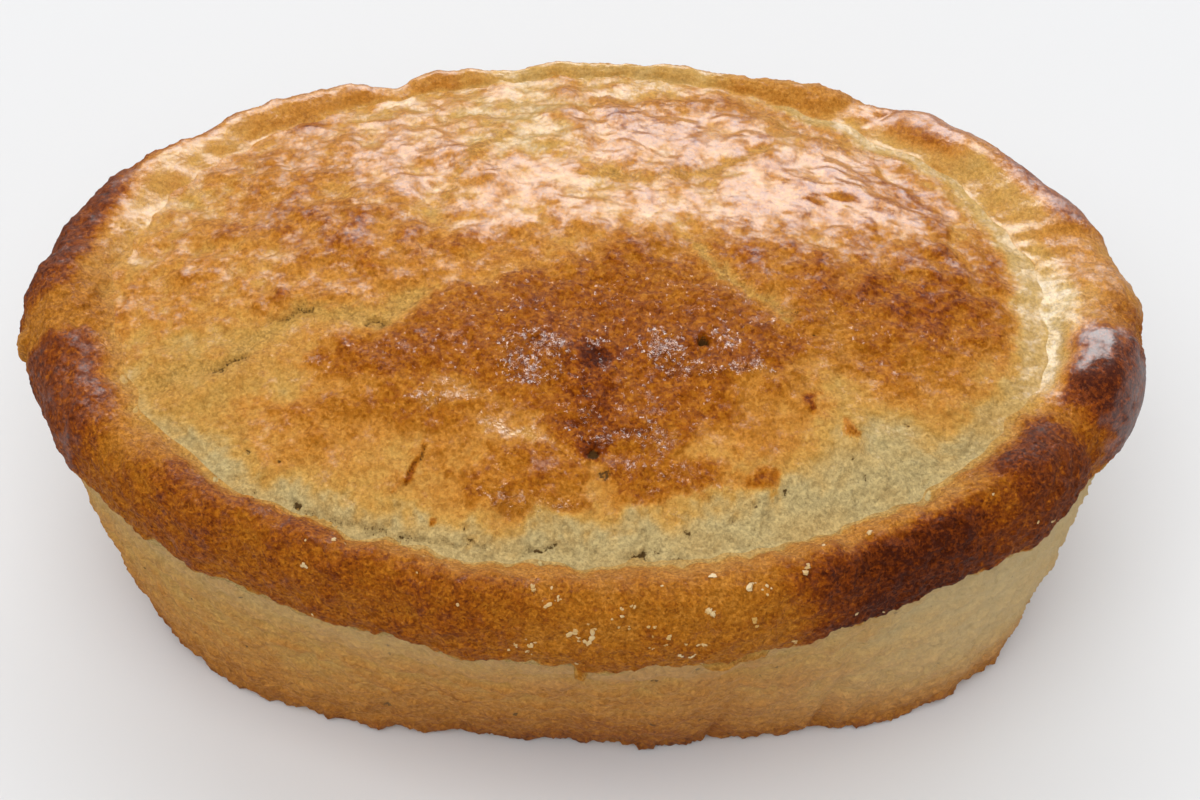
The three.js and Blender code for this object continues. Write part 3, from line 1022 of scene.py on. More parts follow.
def tear_lid(skin):
    """Tears and slits of the lid, with painted shade in the dark ones and pale crumb inside the others."""
    x = skin.x + TEAR_WANDER * skin.ragged + TEAR_WAVER * skin.fine
    y = skin.y + TEAR_WAVER * skin.lumps + TEAR_WANDER * skin.grain
    back = smooth(*TEAR_BACK, skin.y)
    for tear in TEARS:
        gap = bell(line_distance(x, y, tear.corners), tear.half * (1 + TEAR_SWELL * skin.swells))
        skin.relief -= tear.depth * gap
        pale = np.minimum(skin.browning, mix(*TEAR_BROWN, back))
        skin.browning = mix(skin.browning, pale, TEAR_COVER * gap * (tear.dark == 0))
        skin.glaze *= 1 - mix(*TEAR_DULL, back) * gap
        skin.grit += TEAR_GRIT * gap
        # Painted shade inside the dark tears and slits.
        skin.pore = np.maximum(skin.pore, tear.dark * gap)


def pierce_lid(skin, section, share, seed):
    """Holes and pores of the lid with painted shade in them, those in the belt strewn at random."""
    draw = random.Random(seed)
    pits = list(PITS)
    low, high = STRAY_SHARE
    sideways = np.abs(apart(section.degrees, STRAY_ANGLE))
    belt = np.nonzero((share > low) & (share < high) & (sideways < STRAY_HALF))[0]
    for _ in range(STRAY_PORES):
        near = int(belt[draw.randrange(len(belt))])
        pits.append(Pit(skin.x[near], skin.y[near], draw.uniform(*STRAY_RADIUS), draw.uniform(*STRAY_DEPTH)))
    x, y = skin.x + PIT_SHAKE * skin.fine, skin.y + PIT_SHAKE * skin.ragged
    for pit in pits:
        near = bell(np.hypot(x - pit.x, y - pit.y), PIT_SOFT * pit.radius)
        hole = smooth(*PIT_EDGE, near + PIT_RAG * skin.grain * near)
        skin.relief -= pit.depth * hole
        # Painted shade inside the holes, darker the deeper they are.
        skin.pore = np.maximum(skin.pore, hole * float(smooth(*PIT_DARK, pit.depth)))


def raise_lid(skin, share, sizes):
    """Relief of the lid: grain of the crumb, raised skin, cracks with painted shade, leathery back and low
    ridges.
    """
    bare = 1 - skin.glaze
    skin.relief += sizes.grain / MM * skin.grain * mix(*LID_GRAIN_SHARE, bare)
    skin.relief += LID_LUMP_HEIGHT * skin.lumps
    skin.relief += sizes.skin / MM * smooth(*SKIN_FROM, skin.browning) * smooth(*LID_FRONT, skin.y)
    skin.relief -= LID_CRACK * skin.cracks * bare
    # Painted shade in the cracks, where lumps rise beside them.
    skin.pore = np.maximum(skin.pore, CRACK_DARK * skin.cracks * bare * smooth(*CRACKED_LUMPS, skin.lumps))
    wrinkle_back(skin, lumpy_skin(skin) * smooth(*LEATHER_END, share))
    for ridge in RIDGES:
        skin.relief += ridge.height * bell(spot_distance(skin.x, skin.y, ridge), RIDGE_HALF)
    skin.relief *= smooth(*LID_EDGE, share)


def wrinkle_back(skin, back):
    """Leathery lumps, crags and furrows where the lid's skin is lumpy."""
    stretched = skin.points * np.array(WRINKLE_STRETCH)
    furrow = sum(f.weight * bell(noise_at(stretched, *f.noise), f.half) for f in FURROWS)
    leather = LEATHER_SWELL * skin.swells + LEATHER_LUMP * skin.lumps
    leather += LEATHER_WRINKLE * noise_at(stretched, *WRINKLES)
    leather += mix(*LEATHER_CRAG, skin.glaze) * np.abs(noise_at(stretched, *CRAGS))
    skin.relief += (leather - FURROW_DEPTH * furrow) * back
    skin.browning += FURROW_BROWN * furrow * back * skin.glaze


def bake_rim(skin, section, across):
    """Browning and glaze of the rim by place across it, with strokes for lobes and pinches."""
    place = across + RIM_ACROSS_WAVER * skin.ragged
    turn = section.degrees + RIM_TURN_WAVER * skin.ragged
    skin.browning = np.interp(place, *RIM_PROFILE)
    skin.glaze += RIM_GLAZE
    skin.grit += RIM_GRIT * mix(1, RIM_BACK_GRIT, smooth(*RIM_BACK, skin.y))
    for stroke in RIM_STROKES:
        sideways = smooth(*STROKE_ENDS, np.abs(apart(turn, stroke.angle)) / stroke.half)
        over = smooth(*STROKE_SIDES, np.abs(place - stroke.across) / stroke.depth)
        skin.browning = mix(skin.browning, stroke.brown, sideways * over)
        skin.glaze = mix(skin.glaze, stroke.glaze, sideways * over)
    lip = smooth(RIM_SKIN_END - RIM_LIP_FADE, RIM_SKIN_END + RIM_LIP_FADE, place)
    skin.browning = mix(skin.browning, RIM_LIP_BROWN, lip)
    skin.glaze *= 1 - lip
    skin.relief += RIM_SKIN * (1 - lip) * smooth(0, RIM_SKIN_START, across)


def raise_rim(skin, section, across, sizes):
    """Relief of the rim: grain, lumps, folds at its right end and flakes."""
    bare = 1 - skin.glaze
    skin.relief += sizes.grain / MM * skin.grain * mix(*RIM_GRAIN_SHARE, bare)
    lumpy = RIM_SWELL_HEIGHT * skin.swells + RIM_LUMP_HEIGHT * skin.lumps
    skin.relief += lumpy - RIM_CRACK * skin.cracks * bare
    skin.browning += RIM_MOTTLE * skin.swells + RIM_MOTTLE * skin.lumps + RIM_MOTTLE * skin.grain
    turn = section.degrees + RIM_FOLDS["waver"] * skin.lumps
    folded = facing(section, RIM_FOLDS["angle"], RIM_FOLDS["half"]) * smooth(*RIM_FOLDS["across"], across)
    fold = np.sin(2 * math.pi * turn / RIM_FOLDS["spacing"])
    skin.relief += RIM_FOLDS["height"] * fold * folded
    for flake in RIM_FLAKES:
        sideways = np.abs(apart(turn + FLAKE_TURN_WAVER * skin.ragged, flake.angle)) / flake.half
        over = np.abs(across + FLAKE_ACROSS_WAVER * skin.ragged - flake.across) / flake.depth
        cover = smooth(*FLAKE_EDGE, np.hypot(sideways, over))
        skin.relief += flake.height * cover
        skin.browning = mix(skin.browning, FLAKE_BROWN, cover)
    skin.relief *= smooth(*RIM_EDGE, across)


def bake_wall(skin, section, sizes):
    """Browning, dust, painted light and relief of the wall: browner to the foot and the front, in level
    streaks.
    """
    streaks = rough_at(skin.points * np.array(WALL_LEVEL), *STREAKS)
    front = facing(section, *WALL_FRONT)
    right = facing(section, *WALL_RIGHT)
    height = skin.z + WALL_STREAK_SHIFT * streaks + WALL_LUMP_SHIFT * skin.lumps
    skin.browning = np.interp(height, *WALL_PROFILE)
    sides = WALL_STREAK_BROWN * streaks + WALL_FRONT_BROWN * front
    # Painted light: the right side of the wall is made paler, more so higher up.
    sides = sides - WALL_RIGHT_PAINTED_LIGHT * right * smooth(*WALL_RIGHT_RISE, skin.z)
    skin.browning += sides + WALL_MOTTLE * skin.lumps + WALL_MOTTLE * skin.grain
    skin.grit += WALL_GRIT
    # Painted light on the right side, kept in one field with the pale dust along the top.
    painted_light_right = PAINTED_LIGHT_RIGHT * right * smooth(*PAINTED_LIGHT_RIGHT_RISE, skin.z)
    dust_top = DUST_TOP * smooth(*DUST_TOP_RISE, skin.z + DUST_STREAK_SHIFT * streaks)
    skin.dust += np.maximum(painted_light_right, dust_top)
    skin.relief += WALL_STREAK_HEIGHT * streaks + WALL_GRAIN_SHARE * sizes.grain / MM * skin.grain
    skin.relief += FOOT_CRAG * skin.grain * smooth(*FOOT_CRAG_RISE, skin.z)


def pierce_wall(skin, seed):
    """Pores strewn over the wall at random, with painted shade in them."""
    draw = random.Random(seed)
    shaken = skin.points + WALL_PORE_SHAKE * np.column_stack([skin.fine, skin.ragged, skin.lumps])
    for _ in range(WALL_PORES):
        middle = skin.points[draw.randrange(len(skin.points))]
        radius = draw.uniform(*WALL_PORE_RADIUS)
        away = np.linalg.norm((shaken - middle) * np.array(WALL_PORE_SQUASH), axis=1)
        hole = bell(away, radius)
        skin.relief -= WALL_PORE_DEPTH * radius * hole
        # Painted shade inside the wall's pores.
        skin.pore = np.maximum(skin.pore, WALL_PORE_DARK * hole)


# Making pieces


def set_points(mesh, points):
    """Moves the mesh's vertices to the points."""
    mesh.vertices.foreach_set("co", points.astype(np.float32).ravel())
    mesh.update()


def face_outward(mesh):
    """Turns all faces of a closed mesh outwards."""
    shape = bmesh.new()
    shape.from_mesh(mesh)
    bmesh.ops.recalc_face_normals(shape, faces=shape.faces)
    shape.to_mesh(mesh)
    shape.free()


def write_field(mesh, name, values):
    """Stores one number for each vertex for the materials to read."""
    field = mesh.attributes.new(name, "FLOAT", "POINT")
    field.data.foreach_set("value", values.astype(np.float32))


def read_field(mesh, name):
    """Numbers stored on the mesh's vertices."""
    values = np.zeros(len(mesh.vertices), np.float32)
    mesh.attributes[name].data.foreach_get("value", values)
    return values


def link_piece(mesh, material):
    """Puts a finished mesh into the scene as a piece of the tart."""
    mesh.materials.append(material)
    mesh.shade_smooth()
    piece = bpy.data.objects.new(mesh.name, mesh)
    bpy.context.scene.collection.objects.link(piece)
    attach(piece, BODY)
    return piece


def crust_piece(mesh, skin, shift, material):
    """Folds a flat mesh into its form, raises its relief and stores its baking."""
    set_points(mesh, skin.points)
    face_outward(mesh)
    normals = np.zeros(len(mesh.vertices) * 3, np.float32)
    mesh.vertex_normals.foreach_get("vector", normals)
    raised = skin.points + normals.reshape(-1, 3) * skin.relief[:, None] - shift
    raised[:, 2] = np.maximum(raised[:, 2], 0)
    set_points(mesh, raised * MM)
    for field in BAKED_FIELDS:
        write_field(mesh, field, np.clip(getattr(skin, field), 0, 1))
    piece = link_piece(mesh, material)
    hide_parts(NODE)


# Materials


def new_material(name):
    """Empty node material with its Principled shader and output."""
    material = bpy.data.materials.new(name)
    material.use_nodes = True
    tree = material.node_tree
    tree.nodes.clear()
    output = tree.nodes.new("ShaderNodeOutputMaterial")
    shader = tree.nodes.new("ShaderNodeBsdfPrincipled")
    tree.links.new(shader.outputs["BSDF"], output.inputs["Surface"])
    return material, tree, shader


def feed(tree, socket, value):
    """Links a socket to an input, or sets the input to a plain value."""
    if isinstance(value, bpy.types.NodeSocket):
        tree.links.new(value, socket)
    else:
        socket.default_value = value


def add_node(tree, kind, **values):
    """New node with its inputs fed by name."""
    node = tree.nodes.new(kind)
    for name, value in values.items():
        feed(tree, node.inputs[name.replace("_", " ")], value)
    return node


def math_node(tree, operation, *values, clamp=False):
    """Math node on sockets or numbers."""
    node = tree.nodes.new("ShaderNodeMath")
    node.operation = operation
    node.use_clamp = clamp
    for socket, value in zip(node.inputs, values):
        feed(tree, socket, value)
    return node.outputs[0]


def centred(tree, value, spread):
    """Noise value from 0 to 1 made to swing by a spread about 0."""
    return math_node(tree, "MULTIPLY_ADD", value, spread, -0.5 * spread)


def mix_colours(tree, factor, first, second):
    """Mix of two colours by a factor."""
    node = tree.nodes.new("ShaderNodeMix")
    node.data_type = "RGBA"
    for socket, value in ((node.inputs[0], factor), (node.inputs[6], first), (node.inputs[7], second)):
        feed(tree, socket, value)
    return node.outputs[2]


def new_group(name, inputs, outputs, kind="NodeSocketFloat"):
    """Empty node group with named numbers as inputs and named outputs of one kind."""
    group = bpy.data.node_groups.new(name, "ShaderNodeTree")
    for socket in inputs:
        group.interface.new_socket(socket, in_out="INPUT", socket_type="NodeSocketFloat")
    for socket in outputs:
        group.interface.new_socket(socket, in_out="OUTPUT", socket_type=kind)
    inlet = group.nodes.new("NodeGroupInput")
    outlet = group.nodes.new("NodeGroupOutput")
    return group, inlet.outputs, outlet.inputs


def crumb_grain_group():
    """Node group of baked crumb, all from 0 to 1: sandy grains, coarse speckle, fine crinkle and glint."""
    group, inlet, outlet = new_group("crumb grain", ["Grain Size"], ["Grain", "Speckle", "Crinkle", "Glint"])
    place = group.nodes.new("ShaderNodeTexCoord").outputs["Object"]
    per_metre = math_node(group, "DIVIDE", 1.0, inlet["Grain Size"])
    made = {}
    for cloud in CLOUDS:
        scale = math_node(group, "MULTIPLY", per_metre, cloud.fineness)
        mist = add_node(
            group, "ShaderNodeTexNoise", Vector=place, Scale=scale, Detail=cloud.detail, Roughness=0.7)
        value = mist.outputs["Fac"]
        contrast = add_node(group, "ShaderNodeMapRange", Value=value, From_Min=0.36, From_Max=0.64)
        made[cloud.name] = contrast.outputs["Result"]
    scale = math_node(group, "MULTIPLY", per_metre, SHAKE_FINENESS)
    shaken = add_node(group, "ShaderNodeTexNoise", Vector=place, Scale=scale)
    moved = group.nodes.new("ShaderNodeVectorMath")
    moved.operation = "MULTIPLY_ADD"
    for socket, value in zip(moved.inputs, (shaken.outputs["Color"], (SAND_SHAKE,) * 3, place)):
        feed(group, socket, value)
    scale = math_node(group, "MULTIPLY", per_metre, SAND_FINENESS)
    sand = add_node(group, "ShaderNodeTexVoronoi", Vector=moved.outputs[0], Scale=scale)
    tint = add_node(group, "ShaderNodeSeparateColor", Color=sand.outputs["Color"])
    cloudy = math_node(group, "MULTIPLY", made["Grain"], 1 - SAND_SHARE)
    made["Grain"] = math_node(group, "MULTIPLY_ADD", tint.outputs["Red"], SAND_SHARE, cloudy)
    made["Glint"] = tint.outputs["Green"]
    for name, value in made.items():
        group.links.new(value, outlet[name])
    return group


def colour_ramp(group, colours, browning):
    """Colour of the crust by how far it browned."""
    ramp = add_node(group, "ShaderNodeValToRGB", Fac=browning)
    elements = ramp.color_ramp.elements
    while len(elements) < len(BAKING_STOPS):
        elements.new(1.0)
    for element, (name, place) in zip(elements, BAKING_STOPS.items()):
        element.position = place
        element.color = (*getattr(colours, name), 1)
    return ramp.outputs["Color"]


def baking_colour_group(colours):
    """Node group of the crust's colour: grains that browned unevenly, light and dark ones, and painted shade
    in pores.
    """
    fields = ["Browning", "Grit", "Pore", "Grain", "Speckle", "Crinkle", "Spread"]
    group, inlet, outlet = new_group("baking colour", fields, ["Colour"], "NodeSocketColor")
    fine = centred(group, inlet["Grain"], -1.0)
    coarse = centred(group, inlet["Speckle"], SPECKLE_SHARE)
    uneven = math_node(group, "ADD", fine, coarse)
    change = math_node(group, "MULTIPLY_ADD", uneven, inlet["Spread"], 1.0)
    varied = math_node(group, "MULTIPLY", inlet["Browning"], change, clamp=True)
    contrast = math_node(group, "MULTIPLY_ADD", inlet["Grit"], *GRIT_LIGHT)
    crinkle = centred(group, inlet["Crinkle"], CRINKLE_LIGHT)
    swing = math_node(group, "ADD", centred(group, inlet["Grain"], 1.0), crinkle)
    light = math_node(group, "MULTIPLY_ADD", swing, contrast, 1.0)
    lit = group.nodes.new("ShaderNodeVectorMath")
    lit.operation = "SCALE"
    group.links.new(colour_ramp(group, colours, varied), lit.inputs[0])
    group.links.new(light, lit.inputs["Scale"])
    # Painted shade: pores, cracks and dark slits are mixed towards the dark shade colour.
    depth = math_node(group, "ADD", inlet["Pore"], centred(group, inlet["Crinkle"], PORE_RAG))
    dark = add_node(
        group, "ShaderNodeMapRange", Value=depth, From_Min=0.35, From_Max=0.6, To_Max=PORE_SHADE_COVER)
    colour = mix_colours(group, dark.outputs["Result"], lit.outputs[0], (*colours.pore, 1))
    group.links.new(colour, outlet["Colour"])
    return group


def egg_wash_group():
    """Node group of egg wash: gloss in flecks and clustered glints, and fine relief in millimetres."""
    fields = ["Glaze", "Film", "Grit", "Grain", "Speckle", "Crinkle", "Glint"]
    group, inlet, outlet = new_group("egg wash", fields, ["Gloss", "Height"])
    washed = math_node(group, "MULTIPLY_ADD", inlet["Film"], FILM_SHEEN, inlet["Glaze"])
    cloudy = math_node(group, "ADD", washed, centred(group, inlet["Speckle"], SHEEN_FLECKS))
    sheen = add_node(group, "ShaderNodeMapRange", Value=cloudy, From_Min=0.4, From_Max=1.0, To_Max=0.4)
    ragged = math_node(group, "ADD", inlet["Glint"], centred(group, inlet["Crinkle"], GLINT_RAG))
    clusters = math_node(group, "MULTIPLY_ADD", inlet["Speckle"], *GLINT_CLUSTERS)
    sparse = math_node(group, "MULTIPLY_ADD", inlet["Film"], clusters, ragged)
    sparks = add_node(group, "ShaderNodeMapRange", Value=sparse, From_Min=1.09, From_Max=1.24)
    gloss = math_node(group, "MAXIMUM", sheen.outputs["Result"], sparks.outputs["Result"])
    group.links.new(gloss, outlet["Gloss"])
    unglazed = math_node(group, "MULTIPLY_ADD", inlet["Glaze"], *GRAIN_BUMP)
    rough = math_node(group, "MULTIPLY", inlet["Grit"], unglazed)
    grains = math_node(group, "MULTIPLY", inlet["Grain"], rough)
    filmed = math_node(group, "MULTIPLY_ADD", inlet["Film"], *FILM_BUMP)
    height = math_node(group, "MULTIPLY_ADD", inlet["Crinkle"], filmed, grains)
    group.links.new(height, outlet["Height"])
    return group


def place_group(tree, name, make, **values):
    """Node group in a material, made when it is first needed."""
    node = tree.nodes.new("ShaderNodeGroup")
    node.node_tree = bpy.data.node_groups.get(name) or make()
    for key, value in values.items():
        feed(tree, node.inputs[key.replace("_", " ")], value)
    return node


def field_value(tree, name):
    """A number stored on the piece's vertices."""
    node = tree.nodes.new("ShaderNodeAttribute")
    node.attribute_name = name
    return node.outputs["Fac"]


def grain_values(grain, *names):
    """Outputs of the crumb's grain by name, to feed another group."""
    return {name: grain.outputs[name] for name in names}


def grainy_colour(tree, colours, grain, spread):
    """Colour of grainy crust by the baking stored on its vertices."""
    fields = {name.title(): field_value(tree, name) for name in ("browning", "grit", "pore")}
    fields.update(grain_values(grain, "Grain", "Speckle", "Crinkle"))
    node = place_group(tree, "baking colour", lambda: baking_colour_group(colours), Spread=spread, **fields)
    return node.outputs["Colour"]


def fine_bump(tree, height):
    """Normals of fine relief whose height is in millimetres."""
    return add_node(tree, "ShaderNodeBump", Height=height, Strength=1.0, Distance=MM).outputs["Normal"]


def glazed_crust(finish, colours):
    """Egg-washed shortcrust: browned by its baking, glossy in flecks where it is glazed or filmed."""
    material, tree, shader = new_material(finish.name)
    grain = place_group(tree, "crumb grain", crumb_grain_group, Grain_Size=finish.grain_size)
    fields = {name.title(): field_value(tree, name) for name in ("glaze", "film", "grit")}
    fields.update(grain_values(grain, "Grain", "Speckle", "Crinkle", "Glint"))
    wash = place_group(tree, "egg wash", egg_wash_group, **fields)
    bump = fine_bump(tree, wash.outputs["Height"])
    feed(tree, shader.inputs["Base Color"], grainy_colour(tree, colours, grain, finish.spread))
    feed(tree, shader.inputs["Normal"], bump)
    feed(tree, shader.inputs["Coat Normal"], bump)
    feed(tree, shader.inputs["Coat Weight"], wash.outputs["Gloss"])
    shader.inputs["Roughness"].default_value = finish.roughness
    shader.inputs["Specular IOR Level"].default_value = finish.shine
    shader.inputs["Coat Roughness"].default_value = 0.16
    shader.inputs["Coat IOR"].default_value = 2.0
    return material


def dry_crust(finish, colours):
    """Dry shortcrust of the wall, a little dusty, and paler on its right side as painted light."""
    material, tree, shader = new_material(finish.name)
    grain = place_group(tree, "crumb grain", crumb_grain_group, Grain_Size=finish.grain_size)
    baked = grainy_colour(tree, colours, grain, finish.spread)
    dust = [channel * DUST_AND_LIGHT_TONE for channel in colours.flake]
    dust_and_painted_light_cover = math_node(tree, "MULTIPLY_ADD", field_value(tree, "dust"), *DUST_AND_LIGHT_COVER)
    crinkle = math_node(tree, "MULTIPLY", grain.outputs["Crinkle"], DRY_CRINKLE_BUMP)
    height = math_node(tree, "MULTIPLY_ADD", grain.outputs["Grain"], DRY_GRAIN_BUMP, crinkle)
    feed(tree, shader.inputs["Base Color"], mix_colours(tree, dust_and_painted_light_cover, baked, (*dust, 1)))
    feed(tree, shader.inputs["Normal"], fine_bump(tree, height))
    shader.inputs["Roughness"].default_value = finish.roughness
    shader.inputs["Specular IOR Level"].default_value = finish.shine
    return material


def loose_crumb(colours):
    """Pale flakes of crumb, some a little browned."""
    material, tree, shader = new_material("loose crumb")
    grain = place_group(tree, "crumb grain", crumb_grain_group, Grain_Size=CRUMB_GRAIN_SIZE)
    tone = mix_colours(tree, grain.outputs["Speckle"], (*colours.flake, 1), (*colours.straw, 1))
    feed(tree, shader.inputs["Base Color"], tone)
    shader.inputs["Roughness"].default_value = 0.7
    return material


def floor_material(colour):
    """Plain pale floor with a faint unevenness."""
    material, tree, shader = new_material("studio floor")
    place = tree.nodes.new("ShaderNodeTexCoord")
    cloud = add_node(tree, "ShaderNodeTexNoise", Vector=place.outputs["Object"], Scale=6.0, Detail=2.0)
    shade = [channel * FLOOR_SHADE for channel in colour]
    tone = mix_colours(tree, cloud.outputs["Fac"], (*colour, 1), (*shade, 1))
    feed(tree, shader.inputs["Base Color"], tone)
    shader.inputs["Roughness"].default_value = 1.0
    shader.inputs["Specular IOR Level"].default_value = 0.0
    return material


# Pieces and their operators


def make_lid(settings):
    """Domed lid with its baked skin, tears, holes and wrinkles."""
    mesh, (x, y) = lid_sheet()
    station, angle = grid_places(settings.sizes, x, y)
    section = Section(settings.sizes, angle)
    share = np.minimum(station, 1)
    sunk = np.maximum(0, np.rint((station - 1) / RING_STEP))
    skin = Skin(lid_form(section, share, sunk))
    bake_lid(skin, section, share)
    raise_lid(skin, share, settings.sizes)
    tear_lid(skin)
    pierce_lid(skin, section, share, settings.crumbs.seed)
    skin.relief *= sunk == 0
    material = glazed_crust(LID_FINISH, settings.colours)
    crust_piece(mesh, skin, standing_shift(settings.sizes), material)


def make_rim(settings):
    """Thick rolled rim round the lid."""
    mesh, (x, y) = ring_sheet("rim", RIM_STEPS, RIM_RINGS + 2 * TUCK_RINGS, True)
    ring, angle = ring_places(settings.sizes, x, y)
    section = Section(settings.sizes, angle)
    across = np.clip((ring - TUCK_RINGS) / RIM_RINGS, 0, 1)
    sunk = np.maximum(0, TUCK_RINGS - ring)
    tucked = np.maximum(0, ring - TUCK_RINGS - RIM_RINGS)
    skin = Skin(rim_form(section, across, sunk, tucked))
    bake_rim(skin, section, across)
    raise_rim(skin, section, across, settings.sizes)
    skin.relief *= (sunk == 0) & (tucked == 0)
    material = glazed_crust(RIM_FINISH, settings.colours)
    crust_piece(mesh, skin, standing_shift(settings.sizes), material)
    write_field(mesh, "turn", section.degrees)
    write_field(mesh, "across", across)


def make_wall(settings):
    """Flared wall with its foot and flat base."""
    mesh, (x, y) = ring_sheet("wall", WALL_STEPS, TUCK_RINGS + WALL_RINGS + FOOT_RINGS + BASE_RINGS, False)
    ring, angle = ring_places(settings.sizes, x, y)
    section = Section(settings.sizes, angle)
    above = np.clip(1 - ring / TUCK_RINGS, 0, 1)
    down = np.clip((ring - TUCK_RINGS) / WALL_RINGS, 0, 1)
    foot = np.clip((ring - TUCK_RINGS - WALL_RINGS) / FOOT_RINGS, 0, 1)
    inside = np.clip((ring - TUCK_RINGS - WALL_RINGS - FOOT_RINGS) / BASE_RINGS, 0, 1)
    skin = Skin(wall_form(section, above, down, foot, inside))
    bake_wall(skin, section, settings.sizes)
    pierce_wall(skin, settings.crumbs.seed)
    skin.relief *= 1 - foot
    skin.relief *= above == 0
    material = dry_crust(WALL_FINISH, settings.colours)
    crust_piece(mesh, skin, standing_shift(settings.sizes), material)


class CUSTARD_TART_OT_lid(bpy.types.Operator):
    """Makes the domed lid"""

    bl_idname = "custard_tart.lid"
    bl_label = "Make Lid"

    def execute(self, context):
        make_lid(context.scene.custard_tart)
        return {"FINISHED"}


class CUSTARD_TART_OT_rim(bpy.types.Operator):
    """Makes the thick rim round the lid"""

    bl_idname = "custard_tart.rim"
    bl_label = "Make Rim"

    def execute(self, context):
        make_rim(context.scene.custard_tart)
        return {"FINISHED"}


class CUSTARD_TART_OT_wall(bpy.types.Operator):
    """Makes the wall and the base"""

    bl_idname = "custard_tart.wall"
    bl_label = "Make Wall"

    def execute(self, context):
        make_wall(context.scene.custard_tart)
        return {"FINISHED"}


def crumb_shape(shape, place, normal, radius, draw):
    """One crumb of a few ragged bits that hang together, set a little into the crust."""
    turn = normal.to_track_quat("Z", "Y").to_matrix().to_4x4()
    for bit in range(draw.randint(*CRUMB_BITS)):
        made = bmesh.ops.create_icosphere(shape, subdivisions=1, radius=radius)["verts"]
        for vert in made:
            vert.co *= draw.uniform(*CRUMB_RAGGED)
        aside = [bit * radius * draw.uniform(-CRUMB_ASIDE, CRUMB_ASIDE) for _ in range(2)]
        flat = [draw.uniform(*span) for span in CRUMB_STRETCH]
        spin = Matrix.Rotation(draw.uniform(0, 2 * math.pi), 4, "Z")
        seat = Matrix.Translation((*aside, CRUMB_RAISE * radius))
        matrix = Matrix.Translation(place) @ turn @ seat @ spin
        bmesh.ops.transform(shape, matrix=matrix @ Matrix.Diagonal((*flat, 1)), verts=made)


def crumb_spots(turn, across, draw, count):
    """Rim vertices that crumbs cling to: most in clusters on the front, the rest strewn."""
    low, high = STREWN_ACROSS
    sideways = np.abs(apart(turn, STREWN_ANGLE))
    strewn = np.nonzero((sideways < STREWN_HALF) & (across > low) & (across < high))[0]
    clusters = []
    for angle, place in CRUMB_CLUSTERS:
        near = np.hypot(apart(turn, angle) / CLUSTER_HALF[0], (across - place) / CLUSTER_HALF[1])
        clusters.append(np.nonzero(near < 1)[0])
    for k in range(count):
        choice = strewn if k % STREWN_EVERY == 0 else clusters[k % len(clusters)]
        yield int(choice[draw.randrange(len(choice))])


class CUSTARD_TART_OT_crumbs(bpy.types.Operator):
    """Makes the loose crumbs that cling to the rim"""

    bl_idname = "custard_tart.crumbs"
    bl_label = "Make Crumbs"

    def execute(self, context):
        settings = context.scene.custard_tart
        rim = bpy.data.objects["rim"].data
        draw = random.Random(settings.crumbs.seed)
        turn = read_field(rim, "turn")
        across = read_field(rim, "across")
        shape = bmesh.new()
        for spot in crumb_spots(turn, across, draw, settings.crumbs.count):
            vert = rim.vertices[spot]
            radius = mix(settings.crumbs.smallest, settings.crumbs.largest, draw.random() ** CRUMB_SKEW)
            crumb_shape(shape, vert.co, vert.normal, radius, draw)
        mesh = bpy.data.meshes.new("loose_crumbs")
        shape.to_mesh(mesh)
        shape.free()
        link_piece(mesh, loose_crumb(settings.colours))
        mesh.shade_flat()
        return {"FINISHED"}


def soft_light(light, power):
    """Rectangular soft box aimed at the tart, left out of one kind of rays."""
    data = bpy.data.lights.new(light.name, "AREA")
    data.shape = "RECTANGLE"
    data.size, data.size_y = light.size
    data.energy = power
    lamp = bpy.data.objects.new(light.name, data)
    lamp.location = light.place
    lamp.rotation_euler = (Vector(LIGHT_AIM) - Vector(light.place)).to_track_quat("-Z", "Y").to_euler()
    setattr(lamp, light.unseen, False)
    bpy.context.scene.collection.objects.link(lamp)


def even_sky(studio):
    """Even pale surroundings, dimmer where they are only seen in reflections."""
    world = bpy.data.worlds.new("studio")
    world.use_nodes = True
    tree = world.node_tree
    background = tree.nodes["Background"]
    path = tree.nodes.new("ShaderNodeLightPath")
    less = studio.shine - studio.sky
    strength = math_node(tree, "MULTIPLY_ADD", path.outputs["Is Glossy Ray"], less, studio.sky)
    background.inputs["Color"].default_value = (1, 1, 1, 1)
    feed(tree, background.inputs["Strength"], strength)
    bpy.context.scene.world = world


def place_camera(studio):
    """Camera that looks down on the front of the tart."""
    data = bpy.data.cameras.new("camera")
    data.sensor_width = SENSOR_WIDTH
    data.lens = studio.lens
    data.clip_start = CLIP_START
    camera = bpy.data.objects.new("camera", data)
    aim = Vector(CAMERA_AIM) * MM
    flat = math.cos(studio.elevation)
    aside = math.sin(studio.azimuth) * flat
    forward = math.cos(studio.azimuth) * flat
    back = Vector((aside, -forward, math.sin(studio.elevation)))
    roll = Matrix.Rotation(studio.roll, 3, "Z").to_quaternion()
    camera.location = aim + back * studio.distance
    camera.rotation_mode = "QUATERNION"
    camera.rotation_quaternion = back.to_track_quat("Z", "Y") @ roll
    bpy.context.scene.collection.objects.link(camera)
    bpy.context.scene.camera = camera


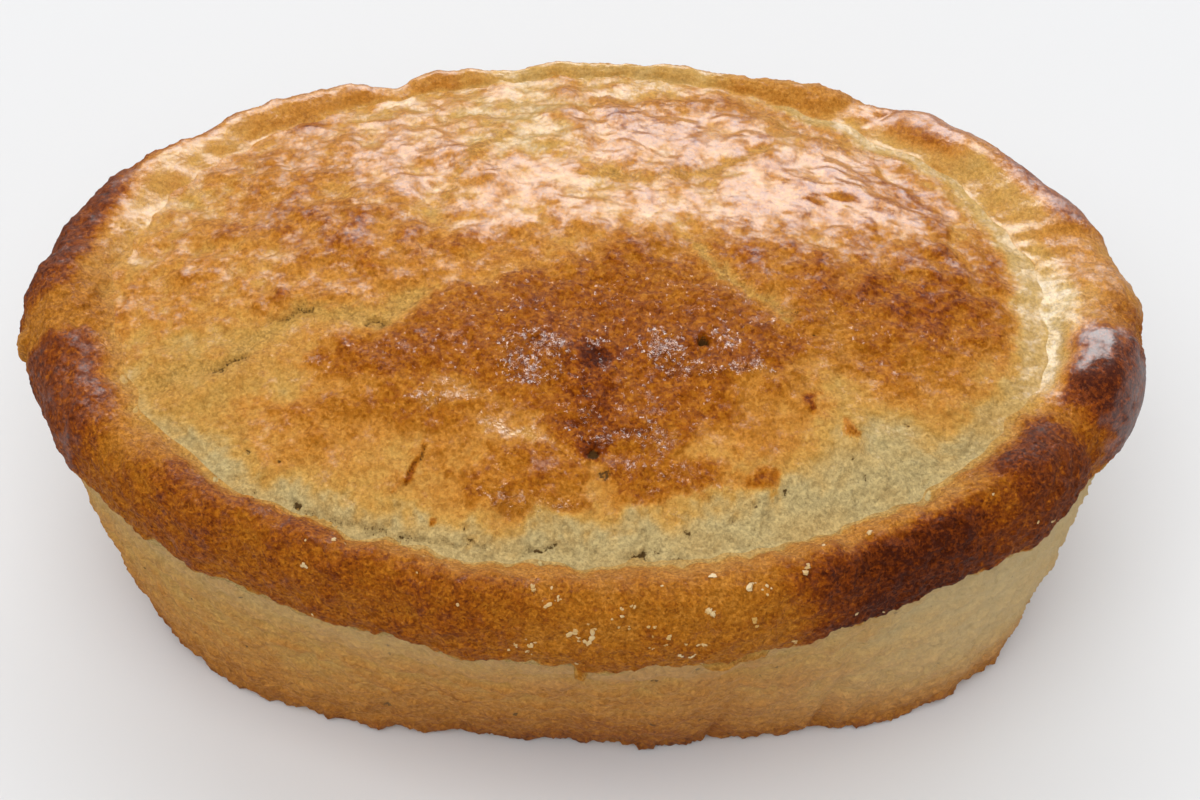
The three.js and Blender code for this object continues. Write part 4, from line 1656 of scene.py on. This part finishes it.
class CUSTARD_TART_OT_studio(bpy.types.Operator):
    """Makes the pale floor, the soft light and the camera"""

    bl_idname = "custard_tart.studio"
    bl_label = "Make Studio"

    def execute(self, context):
        studio = context.scene.custard_tart.studio
        shape = bmesh.new()
        bmesh.ops.create_grid(shape, x_segments=FLOOR_CELLS, y_segments=FLOOR_CELLS, size=FLOOR_HALF)
        mesh = bpy.data.meshes.new("floor")
        shape.to_mesh(mesh)
        shape.free()
        mesh.materials.append(floor_material(studio.floor))
        floor = bpy.data.objects.new("floor", mesh)
        context.scene.collection.objects.link(floor)
        floor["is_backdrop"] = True
        even_sky(studio)
        for setting, light in LIGHTS.items():
            soft_light(light, getattr(studio, setting))
        place_camera(studio)
        context.scene.view_settings.view_transform = "Standard"
        return {"FINISHED"}


class CUSTARD_TART_PT_sidebar(bpy.types.Panel):
    """Lists what makes the tart"""

    bl_idname = "CUSTARD_TART_PT_sidebar"
    bl_label = "Custard Tart"
    bl_space_type = "VIEW_3D"
    bl_region_type = "UI"
    bl_category = "Custard Tart"

    def draw(self, context):
        settings = context.scene.custard_tart
        for name in ("lid", "rim", "wall", "crumbs", "studio"):
            self.layout.operator(f"custard_tart.{name}")
        for group in (settings.sizes, settings.colours, settings.crumbs, settings.studio):
            box = self.layout.box()
            for name in group.__annotations__:
                box.prop(group, name)


CLASSES = (
    TartSizes,
    TartColours,
    CrumbSettings,
    StudioSettings,
    TartSettings,
    CUSTARD_TART_OT_lid,
    CUSTARD_TART_OT_rim,
    CUSTARD_TART_OT_wall,
    CUSTARD_TART_OT_crumbs,
    CUSTARD_TART_OT_studio,
    CUSTARD_TART_PT_sidebar,
)


def register():
    """Adds the classes and the scene's settings."""
    for item in CLASSES:
        bpy.utils.register_class(item)
    bpy.types.Scene.custard_tart = bpy.props.PointerProperty(type=TartSettings)


def unregister():
    """Takes the settings and the classes away again."""
    del bpy.types.Scene.custard_tart
    for item in reversed(CLASSES):
        bpy.utils.unregister_class(item)


def main():
    """Makes the tart and its studio."""
    register()
    bpy.ops.custard_tart.lid()
    bpy.ops.custard_tart.rim()
    bpy.ops.custard_tart.wall()
    bpy.ops.custard_tart.crumbs()
    bpy.ops.custard_tart.studio()
    boxes = {"cad": CAD_BOX, "visual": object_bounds()}
    {name: [list(corner) for corner in box] for name, box in boxes.items()}


if __name__ == "__main__":
    main()
